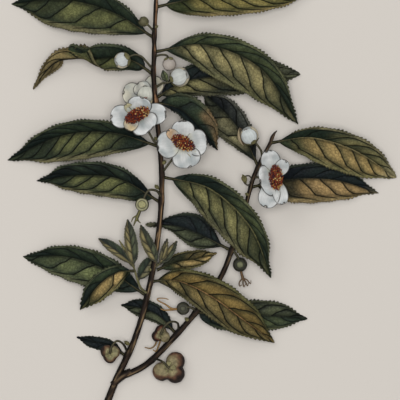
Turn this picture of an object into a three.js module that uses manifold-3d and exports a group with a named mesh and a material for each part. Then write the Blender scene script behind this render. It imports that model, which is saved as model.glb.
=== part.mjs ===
import * as THREE from 'three';
import { mergeVertices } from 'three/addons/utils/BufferGeometryUtils.js';
import Module from 'manifold-3d';

const wasm = await Module();
wasm.setup();

// A flowering tea branch, cut off and laid on a table. Millimetres, +Z up, its tip towards +Y.
// A place is [x, y, height], and a stem's points carry its radius after these. MIDDLE is the
// place that ends up at the origin: the middle of the branch, at its lowest height.
const MIDDLE = new THREE.Vector3(1, 37.5, 0.18);
const CLEAR = 0.35;
const FINEST = 0.02;
const LEAF_THICK = 1;
const YOUNG_THICK = 0.7;
const PETAL_THICK = 0.6;
const PETIOLE_WIDE = 2;
const PETIOLE_THICK = 1.8;
const TIP_WIDE = 0.7;
const STALK_RADIUS = 0.8;
const STYLE_RADIUS = 0.45;
const TWIG_SIDES = 8;
const LEAF_STATIONS = [0.03, 0.11, 0.22, 0.35, 0.48, 0.61, 0.73, 0.84, 0.93, 1];
const ROLLED_STATIONS = [0.03, 0.1, 0.2, 0.3, 0.38, 0.45, 0.51, 0.57, 0.63, 0.69, 0.76, 0.84, 0.92, 1];
const ROLL_SPAN = [0.4, 0.72];
const YOUNG_STATIONS = [0.03, 0.18, 0.4, 0.65, 0.87, 1];
const PETAL_STATIONS = [0.08, 0.35, 0.64, 0.88, 1];

const MAIN_STEM = [
  [-62, -135.5, 2.7, 2.4],
  [-54.5, -117, 3.6, 2.2],
  [-42.5, -90.5, 7, 2],
  [-34.5, -63.5, 10.5, 1.9],
  [-28.5, -32.5, 13.3, 1.8],
  [-25, -0.5, 15, 1.75],
  [-25.5, 29, 16, 1.7],
  [-28.5, 58.5, 16.8, 1.6],
  [-30, 81, 17.3, 1.5],
  [-29.5, 105.5, 17.5, 1.4],
  [-28.5, 130, 17.2, 1.35],
  [-27.5, 153, 16.5, 1.2],
  [-26, 174, 15.5, 1],
];
const SIDE_BRANCH = [
  [-54, -116.5, 3.7, 2.1],
  [-35.5, -107.5, 5, 2],
  [-17.5, -90, 7.2, 1.9],
  [-2, -72, 9.2, 1.8],
  [13.5, -50, 11, 1.75],
  [22, -28, 12.2, 1.6],
  [30, -2.5, 12.8, 1.45],
  [35, 15.5, 13, 1.3],
  [46, 38, 12.6, 1.1],
];
const SIDE_TIP = [
  [45.5, 37, 12.6, 1],
  [46.8, 40.5, 12.8, 1.9],
  [48.5, 43.5, 12.6, 1.3],
  [50, 45, 12.4, 0.3],
];

// Each leaf: the node that carries it, its midrib from the stem to the tip, how wide its two
// halves look from above (left and right of the way to the tip) and how steeply they stand up.
const LEAVES = {
  leaf_left_1: {
    on: 'main_stem',
    midrib: [[-29, 104.5, 17], [-57, 122, 14], [-89.5, 130.5, 8], [-123, 128, 1]],
    half: [19.5, 11],
    fold: [12, 35],
    belly: [0.55, 0.55],
  },
  leaf_left_2: {
    on: 'main_stem',
    midrib: [
      [-30, 81, 17], [-43, 90, 13.5], [-56, 92.5, 12], [-69, 91.5, 12.5],
      [-80.5, 92, 14], [-92, 90.5, 13], [-101, 83, 8], [-109, 72.5, 1],
    ],
    half: [9, 10],
    fold: [30, 30],
    roll: 165,
    belly: [0.35, 0.25],
    taper: 1.8,
  },
  leaf_left_3: {
    on: 'main_stem',
    midrib: [[-26, 34.5, 16], [-58.5, 44, 12], [-91.5, 41.5, 7], [-125.5, 26, 1]],
    half: [18, 8.5],
    fold: [12, 40],
    belly: [0.5, 0.57],
  },
  leaf_left_4: {
    on: 'main_stem',
    midrib: [[-25, -2, 15], [-52, 13.5, 9], [-79.5, 16, 6], [-106.5, 12.5, 1]],
    half: [14.5, 9],
    fold: [12, 38],
    belly: [0.4, 0.5],
  },
  leaf_left_5: {
    on: 'main_stem',
    midrib: [[-34.5, -62.5, 9.5], [-60, -46, 6.5], [-87, -37, 5], [-115.5, -37, 1]],
    half: [15.5, 9],
    fold: [8, 30],
  },
  leaf_left_6: {
    on: 'left_shoot',
    midrib: [[-42.5, -46, 13.8], [-52.5, -48, 16], [-65, -57, 13], [-78, -71.5, 6]],
    half: [8.5, 7.5],
    fold: [15, 25],
    belly: [0.52, 0.58],
  },
  leaf_left_7: {
    on: 'main_stem',
    midrib: [[-48.5, -101.5, 5], [-58.5, -95, 1.6], [-69.5, -92.5, 1], [-80.5, -89.5, 1]],
    half: [4.5, 4],
    fold: [4, 6],
  },
  leaf_left_8: {
    on: 'side_branch',
    midrib: [[-15.5, -87, 7.5], [-27, -75.5, 4], [-39, -70.5, 3], [-51.5, -68.5, 2]],
    half: [6, 6.5],
    fold: [4, 8],
  },
  leaf_left_9: {
    on: 'left_shoot',
    midrib: [[-40, -52, 12.5], [-37, -47, 9.5], [-33.5, -41.5, 8.5], [-30, -36, 8]],
    half: [4.5, 4.5],
    fold: [8, 8],
    young: true,
  },
  leaf_right_1: {
    on: 'main_stem',
    midrib: [[-28.5, 125, 17], [3, 132, 15], [40.5, 134, 10], [76.5, 135, 3]],
    half: [10.5, 14.5],
    fold: [30, 12],
    belly: [0.48, 0.4],
  },
  leaf_right_2: {
    on: 'main_stem',
    midrib: [[-29.5, 96, 17.3], [4.5, 100.5, 18], [40, 85, 14], [64, 49.5, 5]],
    half: [10.5, 20],
    fold: [35, 12],
    belly: [0.56, 0.48],
  },
  leaf_right_3: {
    on: 'main_stem',
    midrib: [[-29.5, 65.5, 15.8], [2, 75.5, 7.5], [33, 80.5, 6], [65.5, 82, 1]],
    half: [11.5, 12.5],
    fold: [8, 8],
  },
  leaf_right_4: {
    on: 'main_stem',
    midrib: [[-29.5, 63.5, 16.8], [-13, 59, 14.5], [0, 47, 12], [11.5, 32.5, 8]],
    half: [11, 4.5],
    fold: [10, 40],
    belly: [0.6, 0.5],
  },
  leaf_right_5: {
    on: 'side_branch',
    midrib: [[38, 21, 13], [29, 40.5, 8], [19.5, 54.5, 5.5], [9, 67, 4]],
    half: [13.5, 8.5],
    fold: [8, 20],
    belly: [0.48, 0.6],
  },
  leaf_right_6: {
    on: 'side_branch',
    midrib: [[45.5, 37, 12.6], [72, 40.5, 13], [101, 32, 8], [128, 14.5, 1]],
    half: [10, 17],
    fold: [35, 12],
    belly: [0.64, 0.52],
  },
  leaf_right_7: {
    on: 'side_branch',
    midrib: [[32, 8, 13], [58.5, 13.5, 8], [88, 13, 4.5], [116.5, 4.5, 1]],
    half: [10, 17],
    fold: [15, 6],
    belly: [0.48, 0.42],
  },
  leaf_right_8: {
    on: 'main_stem',
    midrib: [[-24.5, 15, 15.5], [7, 7, 18.5], [33, -18, 18], [46, -50.5, 10]],
    half: [9, 20],
    fold: [38, 12],
    belly: [0.5, 0.44],
  },
  leaf_right_9: {
    on: 'side_branch',
    midrib: [[19.5, -32.5, 12], [2, -23.5, 8], [-16, -17, 6.5], [-35.5, -16, 6]],
    half: [9, 10],
    fold: [6, 6],
    belly: [0.38, 0.45],
    taper: 2,
  },
  leaf_right_10: {
    on: 'main_stem',
    midrib: [[-33, -53, 11.5], [-14.5, -52.5, 15], [6.5, -62, 16], [26.5, -76.5, 12], [48.5, -93, 4]],
    half: [12, 13],
    fold: [25, 15],
    belly: [0.54, 0.48],
  },
  leaf_right_11: {
    on: 'side_branch',
    midrib: [[-2.5, -73, 9.2], [21, -75.5, 5], [45.5, -75.5, 3], [70, -77.5, 1]],
    half: [10.5, 9.5],
    fold: [6, 6],
    belly: [0.56, 0.52],
  },
  leaf_right_12: {
    on: 'main_stem',
    midrib: [[-28, -45.5, 12.5], [-15.5, -40.5, 12], [-2, -38, 10.4], [11, -34.5, 8.6]],
    half: [6, 6],
    fold: [12, 12],
  },
  leaf_top_1: {
    on: 'main_stem',
    midrib: [[-27.5, 144.5, 16.8], [-52, 158.5, 13], [-76.5, 167.5, 8], [-102.5, 171.5, 1]],
    half: [14, 10],
    fold: [12, 32],
  },
  leaf_top_2: {
    on: 'main_stem',
    midrib: [[-27, 157.5, 16.3], [-3, 173, 14], [21, 184.5, 9], [45.5, 191, 1]],
    half: [10, 13],
    fold: [30, 12],
  },
};

// Each shoot: its twig, and its young leaves, which are half unrolled or still furled.
const SHOOTS = {
  left_shoot: {
    twig: [[-34.5, -60.5, 11.7, 1.3], [-39, -56, 13, 1.2], [-43, -43.5, 14, 1]],
    leaves: [
      { midrib: [[-43, -43, 14], [-44, -34, 17], [-45.5, -23.5, 17], [-47, -12.5, 15]], half: [4, 4.5] },
      { midrib: [[-43, -42.5, 14], [-50.5, -36, 14], [-58.5, -30, 12], [-66, -25, 9]], half: [3.5, 3.5] },
    ],
    furled: [
      [[-43, -43.5, 14, 1], [-46, -37, 16, 1.2], [-49.5, -31, 16, 1.2], [-52.5, -26, 15, 0.4]],
      [[-43, -43.5, 14, 0.9], [-45, -41.5, 14.5, 1], [-48.5, -38.5, 14.5, 0.3]],
    ],
  },
  right_shoot: {
    twig: [[-28.5, -43.5, 13.3, 1], [-27.5, -42.5, 15.5, 1], [-26.5, -41.5, 16.5, 1]],
    leaves: [
      { midrib: [[-27.5, -42, 16.2], [-31, -34, 18.5], [-35, -25.5, 18.5], [-38.5, -16, 16]], half: [4, 4] },
      { midrib: [[-26.5, -42, 16.2], [-22, -37.5, 16], [-18.5, -32.5, 15], [-15, -26.5, 13.5]], half: [2, 2] },
    ],
    furled: [
      [[-26.5, -41.5, 16.2, 1], [-24, -36.5, 18, 1.3], [-23, -31, 17.5, 1.3], [-21.5, -25.5, 16, 0.4]],
    ],
  },
  top_shoot: {
    twig: [[-26, 174.8, 15.5, 1], [-25, 179, 15.2, 0.95], [-24, 183, 15, 0.9]],
    leaves: [
      { midrib: [[-24.5, 181, 15], [-30, 191, 16], [-37, 199, 14], [-45, 205, 10]], half: [5, 4.5] },
      { midrib: [[-24.5, 182, 15], [-19, 193, 17], [-14, 202, 16], [-10, 211, 12]], half: [4, 4.5] },
    ],
    furled: [[[-24, 182, 15, 1], [-25, 190, 16.5, 1.3], [-26, 198, 17, 1.1], [-26.5, 206, 16, 0.3]]],
  },
};

// Each flower: its centre, its stalk from the stem, how its stamens spread (length, width and
// turn), and its petals as [way out in degrees, reach, width].
const FLOWERS = {
  flower_1: {
    on: 'main_stem',
    centre: [-40.5, 55, 21],
    stalk: [[-26, 34.5, 16], [-30, 38.5, 19.5], [-34, 45.5, 20], [-39, 53, 18]],
    stamens: [19, 9.5, 27],
    petals: [[186, 17.5, 13], [76, 12, 13.5], [3, 19, 12], [-50, 13.5, 16], [-125, 12, 8]],
  },
  flower_2: {
    on: 'main_stem',
    centre: [-11, 37, 19.5],
    stalk: [[-24.5, 17.5, 15.5], [-22, 21, 18.5], [-17, 27.5, 18.5], [-11.5, 35, 16.5]],
    stamens: [17.5, 10, -28],
    petals: [[90, 14.5, 13], [0, 16, 15], [-77, 17, 16], [187, 17, 15.5], [142, 13, 6]],
  },
  flower_3: {
    on: 'side_branch',
    centre: [49, 14.5, 19],
    stalk: [[35, 15, 13], [39, 14.5, 14.5], [43.5, 14.5, 15], [48, 14.5, 16]],
    stamens: [18, 9.5, 94],
    petals: [[107, 18.5, 11], [60, 13, 8], [200, 11, 18], [-110, 20.5, 12], [-75, 18, 8.5]],
  },
  flower_4: {
    on: 'main_stem',
    centre: [-35.5, 67.5, 8],
    stalk: [[-29.5, 63, 16.5], [-30, 64, 11], [-33, 66, 5]],
    stamens: [9, 7, 40],
    petals: [[170, 15, 12.5], [115, 10, 10], [52, 15.5, 11], [-15, 7, 9], [-100, 8, 9]],
  },
};

// Each bud: its stalk from the stem, its middle, its radius and the way it points.
const BUDS = {
  bud_1: {
    on: 'main_stem',
    stalk: [[-29, 108, 17.4], [-31.5, 111, 21], [-34.5, 114, 22]],
    centre: [-36.5, 115.5, 22.5],
    radius: 3.2,
    way: [-0.8, 0.6, 0.1],
  },
  bud_2: {
    on: 'main_stem',
    stalk: [[-30, 84.5, 17.3], [-33, 87.5, 20], [-37.5, 92.5, 21], [-42, 94, 21], [-46, 92.5, 20.5]],
    centre: [-50.5, 90.5, 20.5],
    radius: 5.2,
    way: [-0.95, -0.3, 0],
  },
  bud_3: {
    on: 'main_stem',
    stalk: [[-29.5, 93, 17.4], [-25, 94, 19.5], [-21.5, 93.5, 18.5], [-20, 91, 16.5]],
    centre: [-20, 88, 15.5],
    radius: 4.5,
    way: [0.1, -1, -0.2],
  },
  bud_4: {
    on: 'main_stem',
    stalk: [[-30, 72, 17], [-24.5, 75.5, 20], [-20.5, 76, 20.5], [-17, 77.5, 20]],
    centre: [-13, 79.5, 20],
    radius: 6.3,
    way: [0.9, 0.4, 0],
  },
  bud_5: {
    on: 'side_branch',
    stalk: [[40.5, 25.5, 13], [39.5, 32, 16], [36.5, 36.5, 17.5], [35, 39, 17.5]],
    centre: [32, 42, 17.5],
    radius: 6,
    way: [-0.45, 0.9, 0],
  },
};

// Each young fruit: its stalk, its middle and radius, and the styles that it still carries.
const YOUNG_FRUITS = {
  young_fruit_1: {
    on: 'main_stem',
    stalk: [[-25, 1, 15], [-27.5, 5.5, 18.5], [-32.5, 6.5, 21], [-35.5, 3, 21]],
    centre: [-37.5, -3, 19],
    radius: 4.5,
    styles: [[[-38.5, -6, 19], [-41.5, -10, 19.5], [-44.5, -13.5, 19]], [[-38.5, -6, 19], [-39.5, -13, 18.5]]],
  },
  young_fruit_2: {
    on: 'side_branch',
    stalk: [[20, -32.5, 12], [22, -33.5, 12.8], [24.5, -37, 11.5]],
    centre: [26, -42, 9],
    radius: 4.7,
    styles: [
      [[26.5, -46, 9], [28, -52, 9], [28, -56, 8]],
      [[28, -51, 9], [30.5, -55, 9], [33, -55.5, 8.5]],
    ],
  },
  young_fruit_3: {
    on: 'side_branch',
    stalk: [[-2.5, -73, 9.2], [-4.5, -70.5, 12], [-8, -69.5, 12]],
    centre: [-11, -70.5, 9.5],
    radius: 4.3,
    styles: [
      [[-14, -70.5, 9.5], [-18, -70.5, 10.5], [-22, -71, 10], [-24.5, -74, 9]],
      [[-14.5, -70, 9.5], [-21, -67, 11.5], [-27.5, -65.5, 13.5]],
    ],
  },
};

// Each capsule: its stalk, its middle, the radius of a lobe, how far out the lobes stand and
// where they point.
const CAPSULES = {
  capsule_1: {
    on: 'main_stem',
    stalk: [[-47.5, -98.5, 6.5], [-50, -93.5, 12], [-54, -91.5, 14.5], [-57.5, -95.5, 14.5]],
    centre: [-58.5, -99.8, 8.2],
    lobe: 4.3,
    out: 2.4,
    turns: [150, 20, 270],
    styles: [],
  },
  capsule_2: {
    on: 'side_branch',
    stalk: [[-14, -85, 7.5], [-14.5, -80, 12.5], [-19, -79, 15], [-23, -82, 15]],
    centre: [-25.5, -87.5, 9.6],
    lobe: 3.7,
    out: 2.7,
    turns: [200, 90, 330],
    styles: [[[-27.5, -89.5, 8], [-29, -94, 8], [-32, -96.5, 7.5], [-36, -96, 7]]],
  },
  capsule_3: {
    on: 'side_branch',
    stalk: [[-31, -104.5, 5.4], [-28, -103.5, 11], [-24, -105, 15], [-21, -108, 14]],
    centre: [-19.8, -109, 7],
    lobe: 6.2,
    out: 5.6,
    turns: [46, 312, 208],
    styles: [],
  },
};

const COLOURS = {
  bark: { color: 0x5b4331, roughness: 0.85 },
  darkLeaf: { color: 0x36432f, roughness: 0.5 },
  ochreLeaf: { color: 0x7d6f43, roughness: 0.5 },
  youngLeaf: { color: 0x77794a, roughness: 0.55 },
  petal: { color: 0xdfe2e0, roughness: 0.6 },
  stamen: { color: 0xa8552a, roughness: 0.8 },
  fruit: { color: 0x6f7350, roughness: 0.6 },
  capsule: { color: 0x7d5a3c, roughness: 0.7 },
};
const OCHRE_LEAVES = ['leaf_left_6', 'leaf_right_1', 'leaf_right_6', 'leaf_right_7', 'leaf_right_10'];

const UP = new THREE.Vector3(0, 0, 1);
const materials = Object.fromEntries(
  Object.entries(COLOURS).map(([name, look]) => [name, new THREE.MeshStandardMaterial({ ...look, metalness: 0 })]),
);

function curveThrough(points) {
  const places = points.map(([x, y, z]) => new THREE.Vector3(x, y, z));
  return new THREE.CatmullRomCurve3(places, false, 'catmullrom');
}

// Joins closed rings of points, each counter-clockwise round the way forward, into one body.
function loft(rings) {
  const around = rings[0].length;
  const index = [];
  for (let i = 0; i + 1 < rings.length; i++) {
    for (let j = 0; j < around; j++) {
      const a = i * around + j;
      const b = i * around + (j + 1) % around;
      index.push(a, b, b + around, a, b + around, a + around);
    }
  }
  const last = (rings.length - 1) * around;
  for (let j = 0; j < around / 2 - 1; j++) {
    const [a, b, c, d] = [j, j + 1, around - 2 - j, around - 1 - j];
    index.push(a, c, b, a, d, c);
    index.push(last + a, last + b, last + c, last + a, last + c, last + d);
  }
  const geometry = new THREE.BufferGeometry();
  const places = rings.flat().flatMap((point) => point.toArray());
  geometry.setAttribute('position', new THREE.Float32BufferAttribute(places, 3));
  geometry.setIndex(index);
  return geometry;
}

function solidOf(geometry) {
  const bare = geometry.clone();
  bare.deleteAttribute('normal');
  bare.deleteAttribute('uv');
  const merged = mergeVertices(bare, 1e-4);
  const mesh = new wasm.Mesh({
    numProp: 3,
    vertProperties: new Float32Array(merged.attributes.position.array),
    triVerts: new Uint32Array(merged.index.array),
  });
  return new wasm.Manifold(mesh);
}

function fused(solids) {
  return solids.reduce((whole, solid) => whole.add(solid));
}

// What is left of a solid in one piece, with slivers closed and any sealed pocket filled in.
function inOnePiece(solid) {
  const pieces = solid.simplify(FINEST).decompose();
  return pieces.reduce((best, piece) => (piece.volume() > best.volume() ? piece : best));
}

function radiusAt(points, t) {
  const place = t * (points.length - 1);
  const before = Math.min(Math.floor(place), points.length - 2);
  return THREE.MathUtils.lerp(points[before][3], points[before + 1][3], place - before);
}

// A round limb along points that carry its radius, thicker all round by extra.
function limb(points, sides, steps, extra = 0) {
  const curve = curveThrough(points);
  const side = new THREE.Vector3();
  const rings = [];
  for (let i = 0; i <= steps; i++) {
    const t = i / steps;
    const centre = curve.getPoint(t);
    const ahead = curve.getTangent(t);
    if (i === 0) {
      side.crossVectors(ahead, Math.abs(ahead.z) > 0.9 ? new THREE.Vector3(0, 1, 0) : UP);
    }
    side.addScaledVector(ahead, -side.dot(ahead)).normalize();
    const other = new THREE.Vector3().crossVectors(ahead, side);
    const radius = radiusAt(points, t) + extra;
    const ring = [];
    for (let j = 0; j < sides; j++) {
      const angle = (j / sides) * 2 * Math.PI;
      ring.push(
        centre.clone()
          .addScaledVector(side, radius * Math.cos(angle))
          .addScaledVector(other, radius * Math.sin(angle)),
      );
    }
    rings.push(ring);
  }
  return solidOf(loft(rings));
}

function evenLimb(points, radius, sides, steps) {
  return limb(points.map((point) => [...point, radius]), sides, steps);
}

// How wide a blade is along its length, as a share of its widest place.
function outline(s, belly, fullness) {
  const rise = Math.pow(s / belly, fullness * belly);
  const fall = Math.pow(Math.max(1 - s, 0) / (1 - belly), fullness * (1 - belly));
  return rise * fall;
}

// A thin blade on a stalk: two halves that stand up from the midrib by their folds in degrees,
// the whole turning over by roll degrees on the way to the tip.
function blade({ midrib, half, fold, stalk, stations, thick, belly, fullness, roll, stalkWide, stalkThick }) {
  const curve = curveThrough(midrib);
  const slopes = fold.map((angle) => THREE.MathUtils.degToRad(angle));
  const rings = [];
  const ringAt = (t, s) => {
    const centre = curve.getPoint(t);
    const ahead = curve.getTangent(t);
    const turn = THREE.MathUtils.degToRad(roll) * THREE.MathUtils.smoothstep(t, ...ROLL_SPAN);
    const level = new THREE.Vector3().crossVectors(ahead, UP).normalize();
    const right = level.clone().applyAxisAngle(ahead, turn);
    const normal = new THREE.Vector3().crossVectors(right, ahead);
    const least = THREE.MathUtils.lerp(stalkWide, TIP_WIDE, s) / 2;
    const across = half.map((wide, k) => Math.max(wide * outline(s, belly[k], fullness), least));
    const open = THREE.MathUtils.smoothstep(s, 0, 0.12);
    const depth = THREE.MathUtils.lerp(stalkThick, thick, open) / 2;
    const top = [];
    const bottom = [];
    for (const share of [-1, -0.5, 0, 0.5, 1]) {
      const k = share < 0 ? 0 : 1;
      const lift = Math.tan(slopes[k]) * open;
      const out = share * across[k];
      const tilt = share === 0 ? 0 : -Math.sign(share) * Math.sin(slopes[k]) * open;
      const place = centre.clone().addScaledVector(right, out).addScaledVector(normal, Math.abs(out) * lift);
      const outward = normal.clone().multiplyScalar(Math.sqrt(1 - tilt * tilt)).addScaledVector(right, tilt);
      const edge = Math.abs(share) === 1 ? 0.75 : 1;
      top.push(place.clone().addScaledVector(outward, depth * edge));
      bottom.unshift(place.clone().addScaledVector(outward, -depth * edge));
    }
    rings.push([...top, ...bottom]);
  };
  ringAt(0, 0);
  ringAt(stalk * 0.6, 0);
  for (const s of stations) {
    ringAt(stalk + (1 - stalk) * s, s);
  }
  return solidOf(loft(rings));
}

function leafBlade({ midrib, half, fold, roll = 0, young = false, belly = [0.48, 0.48], taper = 1.5 }) {
  return blade({
    midrib,
    half,
    fold,
    roll,
    stalk: 0.07,
    stations: roll ? ROLLED_STATIONS : LEAF_STATIONS,
    thick: young ? YOUNG_THICK : LEAF_THICK,
    belly,
    fullness: taper,
    stalkWide: PETIOLE_WIDE,
    stalkThick: PETIOLE_THICK,
  });
}

function youngBlade({ midrib, half }) {
  return blade({
    midrib,
    half,
    fold: [30, 30],
    roll: 0,
    stalk: 0.05,
    stations: YOUNG_STATIONS,
    thick: YOUNG_THICK,
    belly: [0.5, 0.5],
    fullness: 1.5,
    stalkWide: 1.4,
    stalkThick: 1.2,
  });
}

function ball(centre, radii, turn = 0, segments = 12) {
  const geometry = new THREE.SphereGeometry(1, segments, Math.round(segments * 0.6));
  geometry.rotateX(Math.PI / 2);
  geometry.scale(...radii);
  geometry.rotateZ(THREE.MathUtils.degToRad(turn));
  geometry.translate(...centre);
  return solidOf(geometry);
}

// A body of revolution about the way it points, from rings given as [way along, radius].
function turned(centre, way, rings, sides) {
  const middle = new THREE.Vector3(...centre);
  const direction = new THREE.Vector3(...way).normalize();
  const points = rings.map(([along, radius]) => {
    const place = middle.clone().addScaledVector(direction, along);
    return [...place.toArray(), radius];
  });
  return limb(points, sides, rings.length - 1);
}

// A petal leaves the middle low, rises as a cup and levels out at its rounded end.
function petal(centre, [turn, reach, wide], lift) {
  const way = new THREE.Vector3(Math.cos(THREE.MathUtils.degToRad(turn)), Math.sin(THREE.MathUtils.degToRad(turn)), 0);
  const midrib = [[0.06, 0], [0.4, 0.15], [0.72, 0.6], [1, 1]].map(([share, rise]) => {
    const place = new THREE.Vector3(...centre).addScaledVector(way, share * reach);
    return [place.x, place.y, place.z + rise * lift];
  });
  return blade({
    midrib,
    half: [wide / 2, wide / 2],
    fold: [14, 14],
    roll: 0,
    stalk: 0.04,
    stations: PETAL_STATIONS,
    thick: PETAL_THICK,
    belly: [0.64, 0.64],
    fullness: 1,
    stalkWide: 2.4,
    stalkThick: 1,
  });
}

const branch = new THREE.Group();
const carriers = {};
const sleeves = {};

function addNode(name, solid, look) {
  const { vertProperties, triVerts } = inOnePiece(solid).getMesh();
  const geometry = new THREE.BufferGeometry();
  geometry.setAttribute('position', new THREE.BufferAttribute(vertProperties, 3));
  geometry.setIndex(new THREE.BufferAttribute(triVerts, 1));
  geometry.computeVertexNormals();
  const mesh = new THREE.Mesh(geometry, materials[look]);
  mesh.name = name;
  branch.add(mesh);
}

// Keeps what grows on a stem clear of it, all round.
function grownOn(carrier, solid) {
  return inOnePiece(solid.subtract(sleeves[carrier]));
}

function addStems() {
  carriers.main_stem = limb(MAIN_STEM, TWIG_SIDES, 26);
  sleeves.main_stem = limb(MAIN_STEM, TWIG_SIDES, 26, CLEAR);
  const side = limb(SIDE_BRANCH, TWIG_SIDES, 24).add(limb(SIDE_TIP, TWIG_SIDES, 4));
  carriers.side_branch = grownOn('main_stem', side);
  sleeves.side_branch = limb(SIDE_BRANCH, TWIG_SIDES, 24, CLEAR).add(limb(SIDE_TIP, TWIG_SIDES, 4, CLEAR));
  addNode('main_stem', carriers.main_stem, 'bark');
  addNode('side_branch', carriers.side_branch, 'bark');
}

function addShoots() {
  for (const [name, { twig, leaves, furled }] of Object.entries(SHOOTS)) {
    const pieces = [
      limb(twig, 6, 4),
      ...leaves.map(youngBlade),
      ...furled.map((points) => limb(points, 6, 6)),
    ];
    sleeves[name] = limb(twig, 6, 4, CLEAR);
    addNode(name, grownOn('main_stem', fused(pieces)), 'youngLeaf');
  }
}

function addLeaves() {
  for (const [name, leaf] of Object.entries(LEAVES)) {
    const look = OCHRE_LEAVES.includes(name) ? 'ochreLeaf' : 'darkLeaf';
    addNode(name, grownOn(leaf.on, leafBlade(leaf)), look);
  }
}

function addFlowers() {
  const cup = 4.5;
  for (const [name, { on, centre, stalk, stamens, petals }] of Object.entries(FLOWERS)) {
    const [x, y, z] = centre;
    const pieces = petals.map((shape, i) => petal([x, y, z + i * 0.25], shape, cup));
    pieces.push(turned([x, y, z], [0, 0, 1], [[-2.2, 1.2], [-1, 3], [0.4, 2.6], [1.4, 1.4]], 8));
    pieces.push(evenLimb([...stalk, centre], STALK_RADIUS, 6, 6));
    addNode(name, grownOn(on, fused(pieces)), 'petal');
    const [long, wide, turn] = stamens;
    const dome = ball([x, y, z + 6], [long / 2, wide / 2, 2.8], turn, 10).add(
      turned([x, y, z], [0, 0, 1], [[1.75, 1.6], [3.5, 2], [5, 2]], 8),
    );
    addNode(name.replace('flower', 'stamens'), dome, 'stamen');
  }
}

function addBuds() {
  for (const [name, { on, stalk, centre, radius, way }] of Object.entries(BUDS)) {
    const rings = [
      [-1.05, 0.3], [-0.8, 0.62], [-0.4, 0.92], [0.05, 1], [0.45, 0.88], [0.8, 0.55], [1, 0.15],
    ].map(([along, wide]) => [along * radius, wide * radius]);
    const pieces = [turned(centre, way, rings, 12), evenLimb([...stalk, centre], STALK_RADIUS, 6, 8)];
    addNode(name, grownOn(on, fused(pieces)), radius > 4 ? 'petal' : 'fruit');
  }
}

function addYoungFruits() {
  for (const [name, { on, stalk, centre, radius, styles }] of Object.entries(YOUNG_FRUITS)) {
    const pieces = [
      ball(centre, [radius, radius, radius * 0.9]),
      evenLimb([...stalk, centre], STALK_RADIUS, 6, 8),
      ...styles.map((route) => evenLimb([centre, ...route], STYLE_RADIUS, 4, 8)),
    ];
    addNode(name, grownOn(on, fused(pieces)), 'fruit');
  }
}

function addCapsules() {
  for (const [name, { on, stalk, centre, lobe, out, turns, styles }] of Object.entries(CAPSULES)) {
    const [x, y, z] = centre;
    const lobes = turns.map((turn) => {
      const angle = THREE.MathUtils.degToRad(turn);
      const place = [x + out * Math.cos(angle), y + out * Math.sin(angle), z];
      return ball(place, [lobe, lobe, lobe * 1.05], turn, 8);
    });
    const pieces = [
      ...lobes,
      ball(centre, [lobe, lobe, lobe * 1.1], 0, 8),
      evenLimb([...stalk, centre], STALK_RADIUS, 6, 8),
      ...styles.map((route) => evenLimb([centre, ...route], STYLE_RADIUS, 4, 8)),
    ];
    addNode(name, grownOn(on, fused(pieces)), 'capsule');
  }
}

addStems();
addShoots();
addLeaves();
addFlowers();
addBuds();
addYoungFruits();
addCapsules();
branch.position.copy(MIDDLE).negate();

export default branch;
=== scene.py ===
import math
import random

import bmesh
import bpy
import numpy as np
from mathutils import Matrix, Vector, noise


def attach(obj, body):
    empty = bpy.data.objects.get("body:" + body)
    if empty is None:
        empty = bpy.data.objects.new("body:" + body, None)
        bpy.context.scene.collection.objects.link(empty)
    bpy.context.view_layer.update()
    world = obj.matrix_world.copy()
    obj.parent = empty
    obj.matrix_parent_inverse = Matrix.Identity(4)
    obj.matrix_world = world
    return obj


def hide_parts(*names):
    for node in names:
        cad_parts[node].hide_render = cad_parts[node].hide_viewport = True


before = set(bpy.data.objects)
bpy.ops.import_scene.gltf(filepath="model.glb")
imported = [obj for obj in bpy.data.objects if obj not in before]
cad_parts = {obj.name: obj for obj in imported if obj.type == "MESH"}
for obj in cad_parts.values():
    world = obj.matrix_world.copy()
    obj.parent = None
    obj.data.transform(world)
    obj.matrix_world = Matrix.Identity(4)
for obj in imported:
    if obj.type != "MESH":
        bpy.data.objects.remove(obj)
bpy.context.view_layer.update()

# A flowering tea branch, cut off and laid down. Places are millimetres, [x, y, height], with
# the picture's middle at 0, 0. The row frame is in metres, and has its origin at this place.
middle = np.array([1.0, 37.5, 0.18])
up = np.array([0.0, 0.0, 1.0])


def linear(colour):  # "#rrggbb" to linear light
    parts = [int(colour[k:k + 2], 16) / 255 for k in (1, 3, 5)]
    return [c / 12.92 if c <= 0.04045 else ((c + 0.055) / 1.055) ** 2.4 for c in parts] + [1.0]


def shade(colour):
    return np.array(linear(colour)[:3])


def smooth(x, low, high):
    u = np.clip((np.asarray(x, float) - low) / (high - low), 0, 1)
    return u * u * (3 - 2 * u)


def hump(x, middle, wide):  # 1 at the middle, falling off to each side
    return np.exp(-(((x - middle) / wide) ** 2))


def unit(v):
    return v / np.linalg.norm(v, axis=-1, keepdims=True)


def stacked(*parts):
    return np.stack(np.broadcast_arrays(*parts), axis=-1)


def roundAngles(count):
    return np.arange(count) / count * 2 * np.pi


def turned(angle, side, other):  # the way at an angle from one way towards another, square to it
    return np.cos(angle)[..., None] * side + np.sin(angle)[..., None] * other


def blended(a, b, share):
    share = np.asarray(share, float)[..., None]
    return a * (1 - share) + b * share


# Soft noise from -1 to 1 at places in millimetres, size being the width of its patches.
def mottle(places, size, seed):
    flat = np.asarray(places, float).reshape(-1, 3) / size + seed * 17.3
    found = [noise.noise(Vector(place)) for place in flat]
    return np.array(found).reshape(np.shape(places)[:-1])


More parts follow.
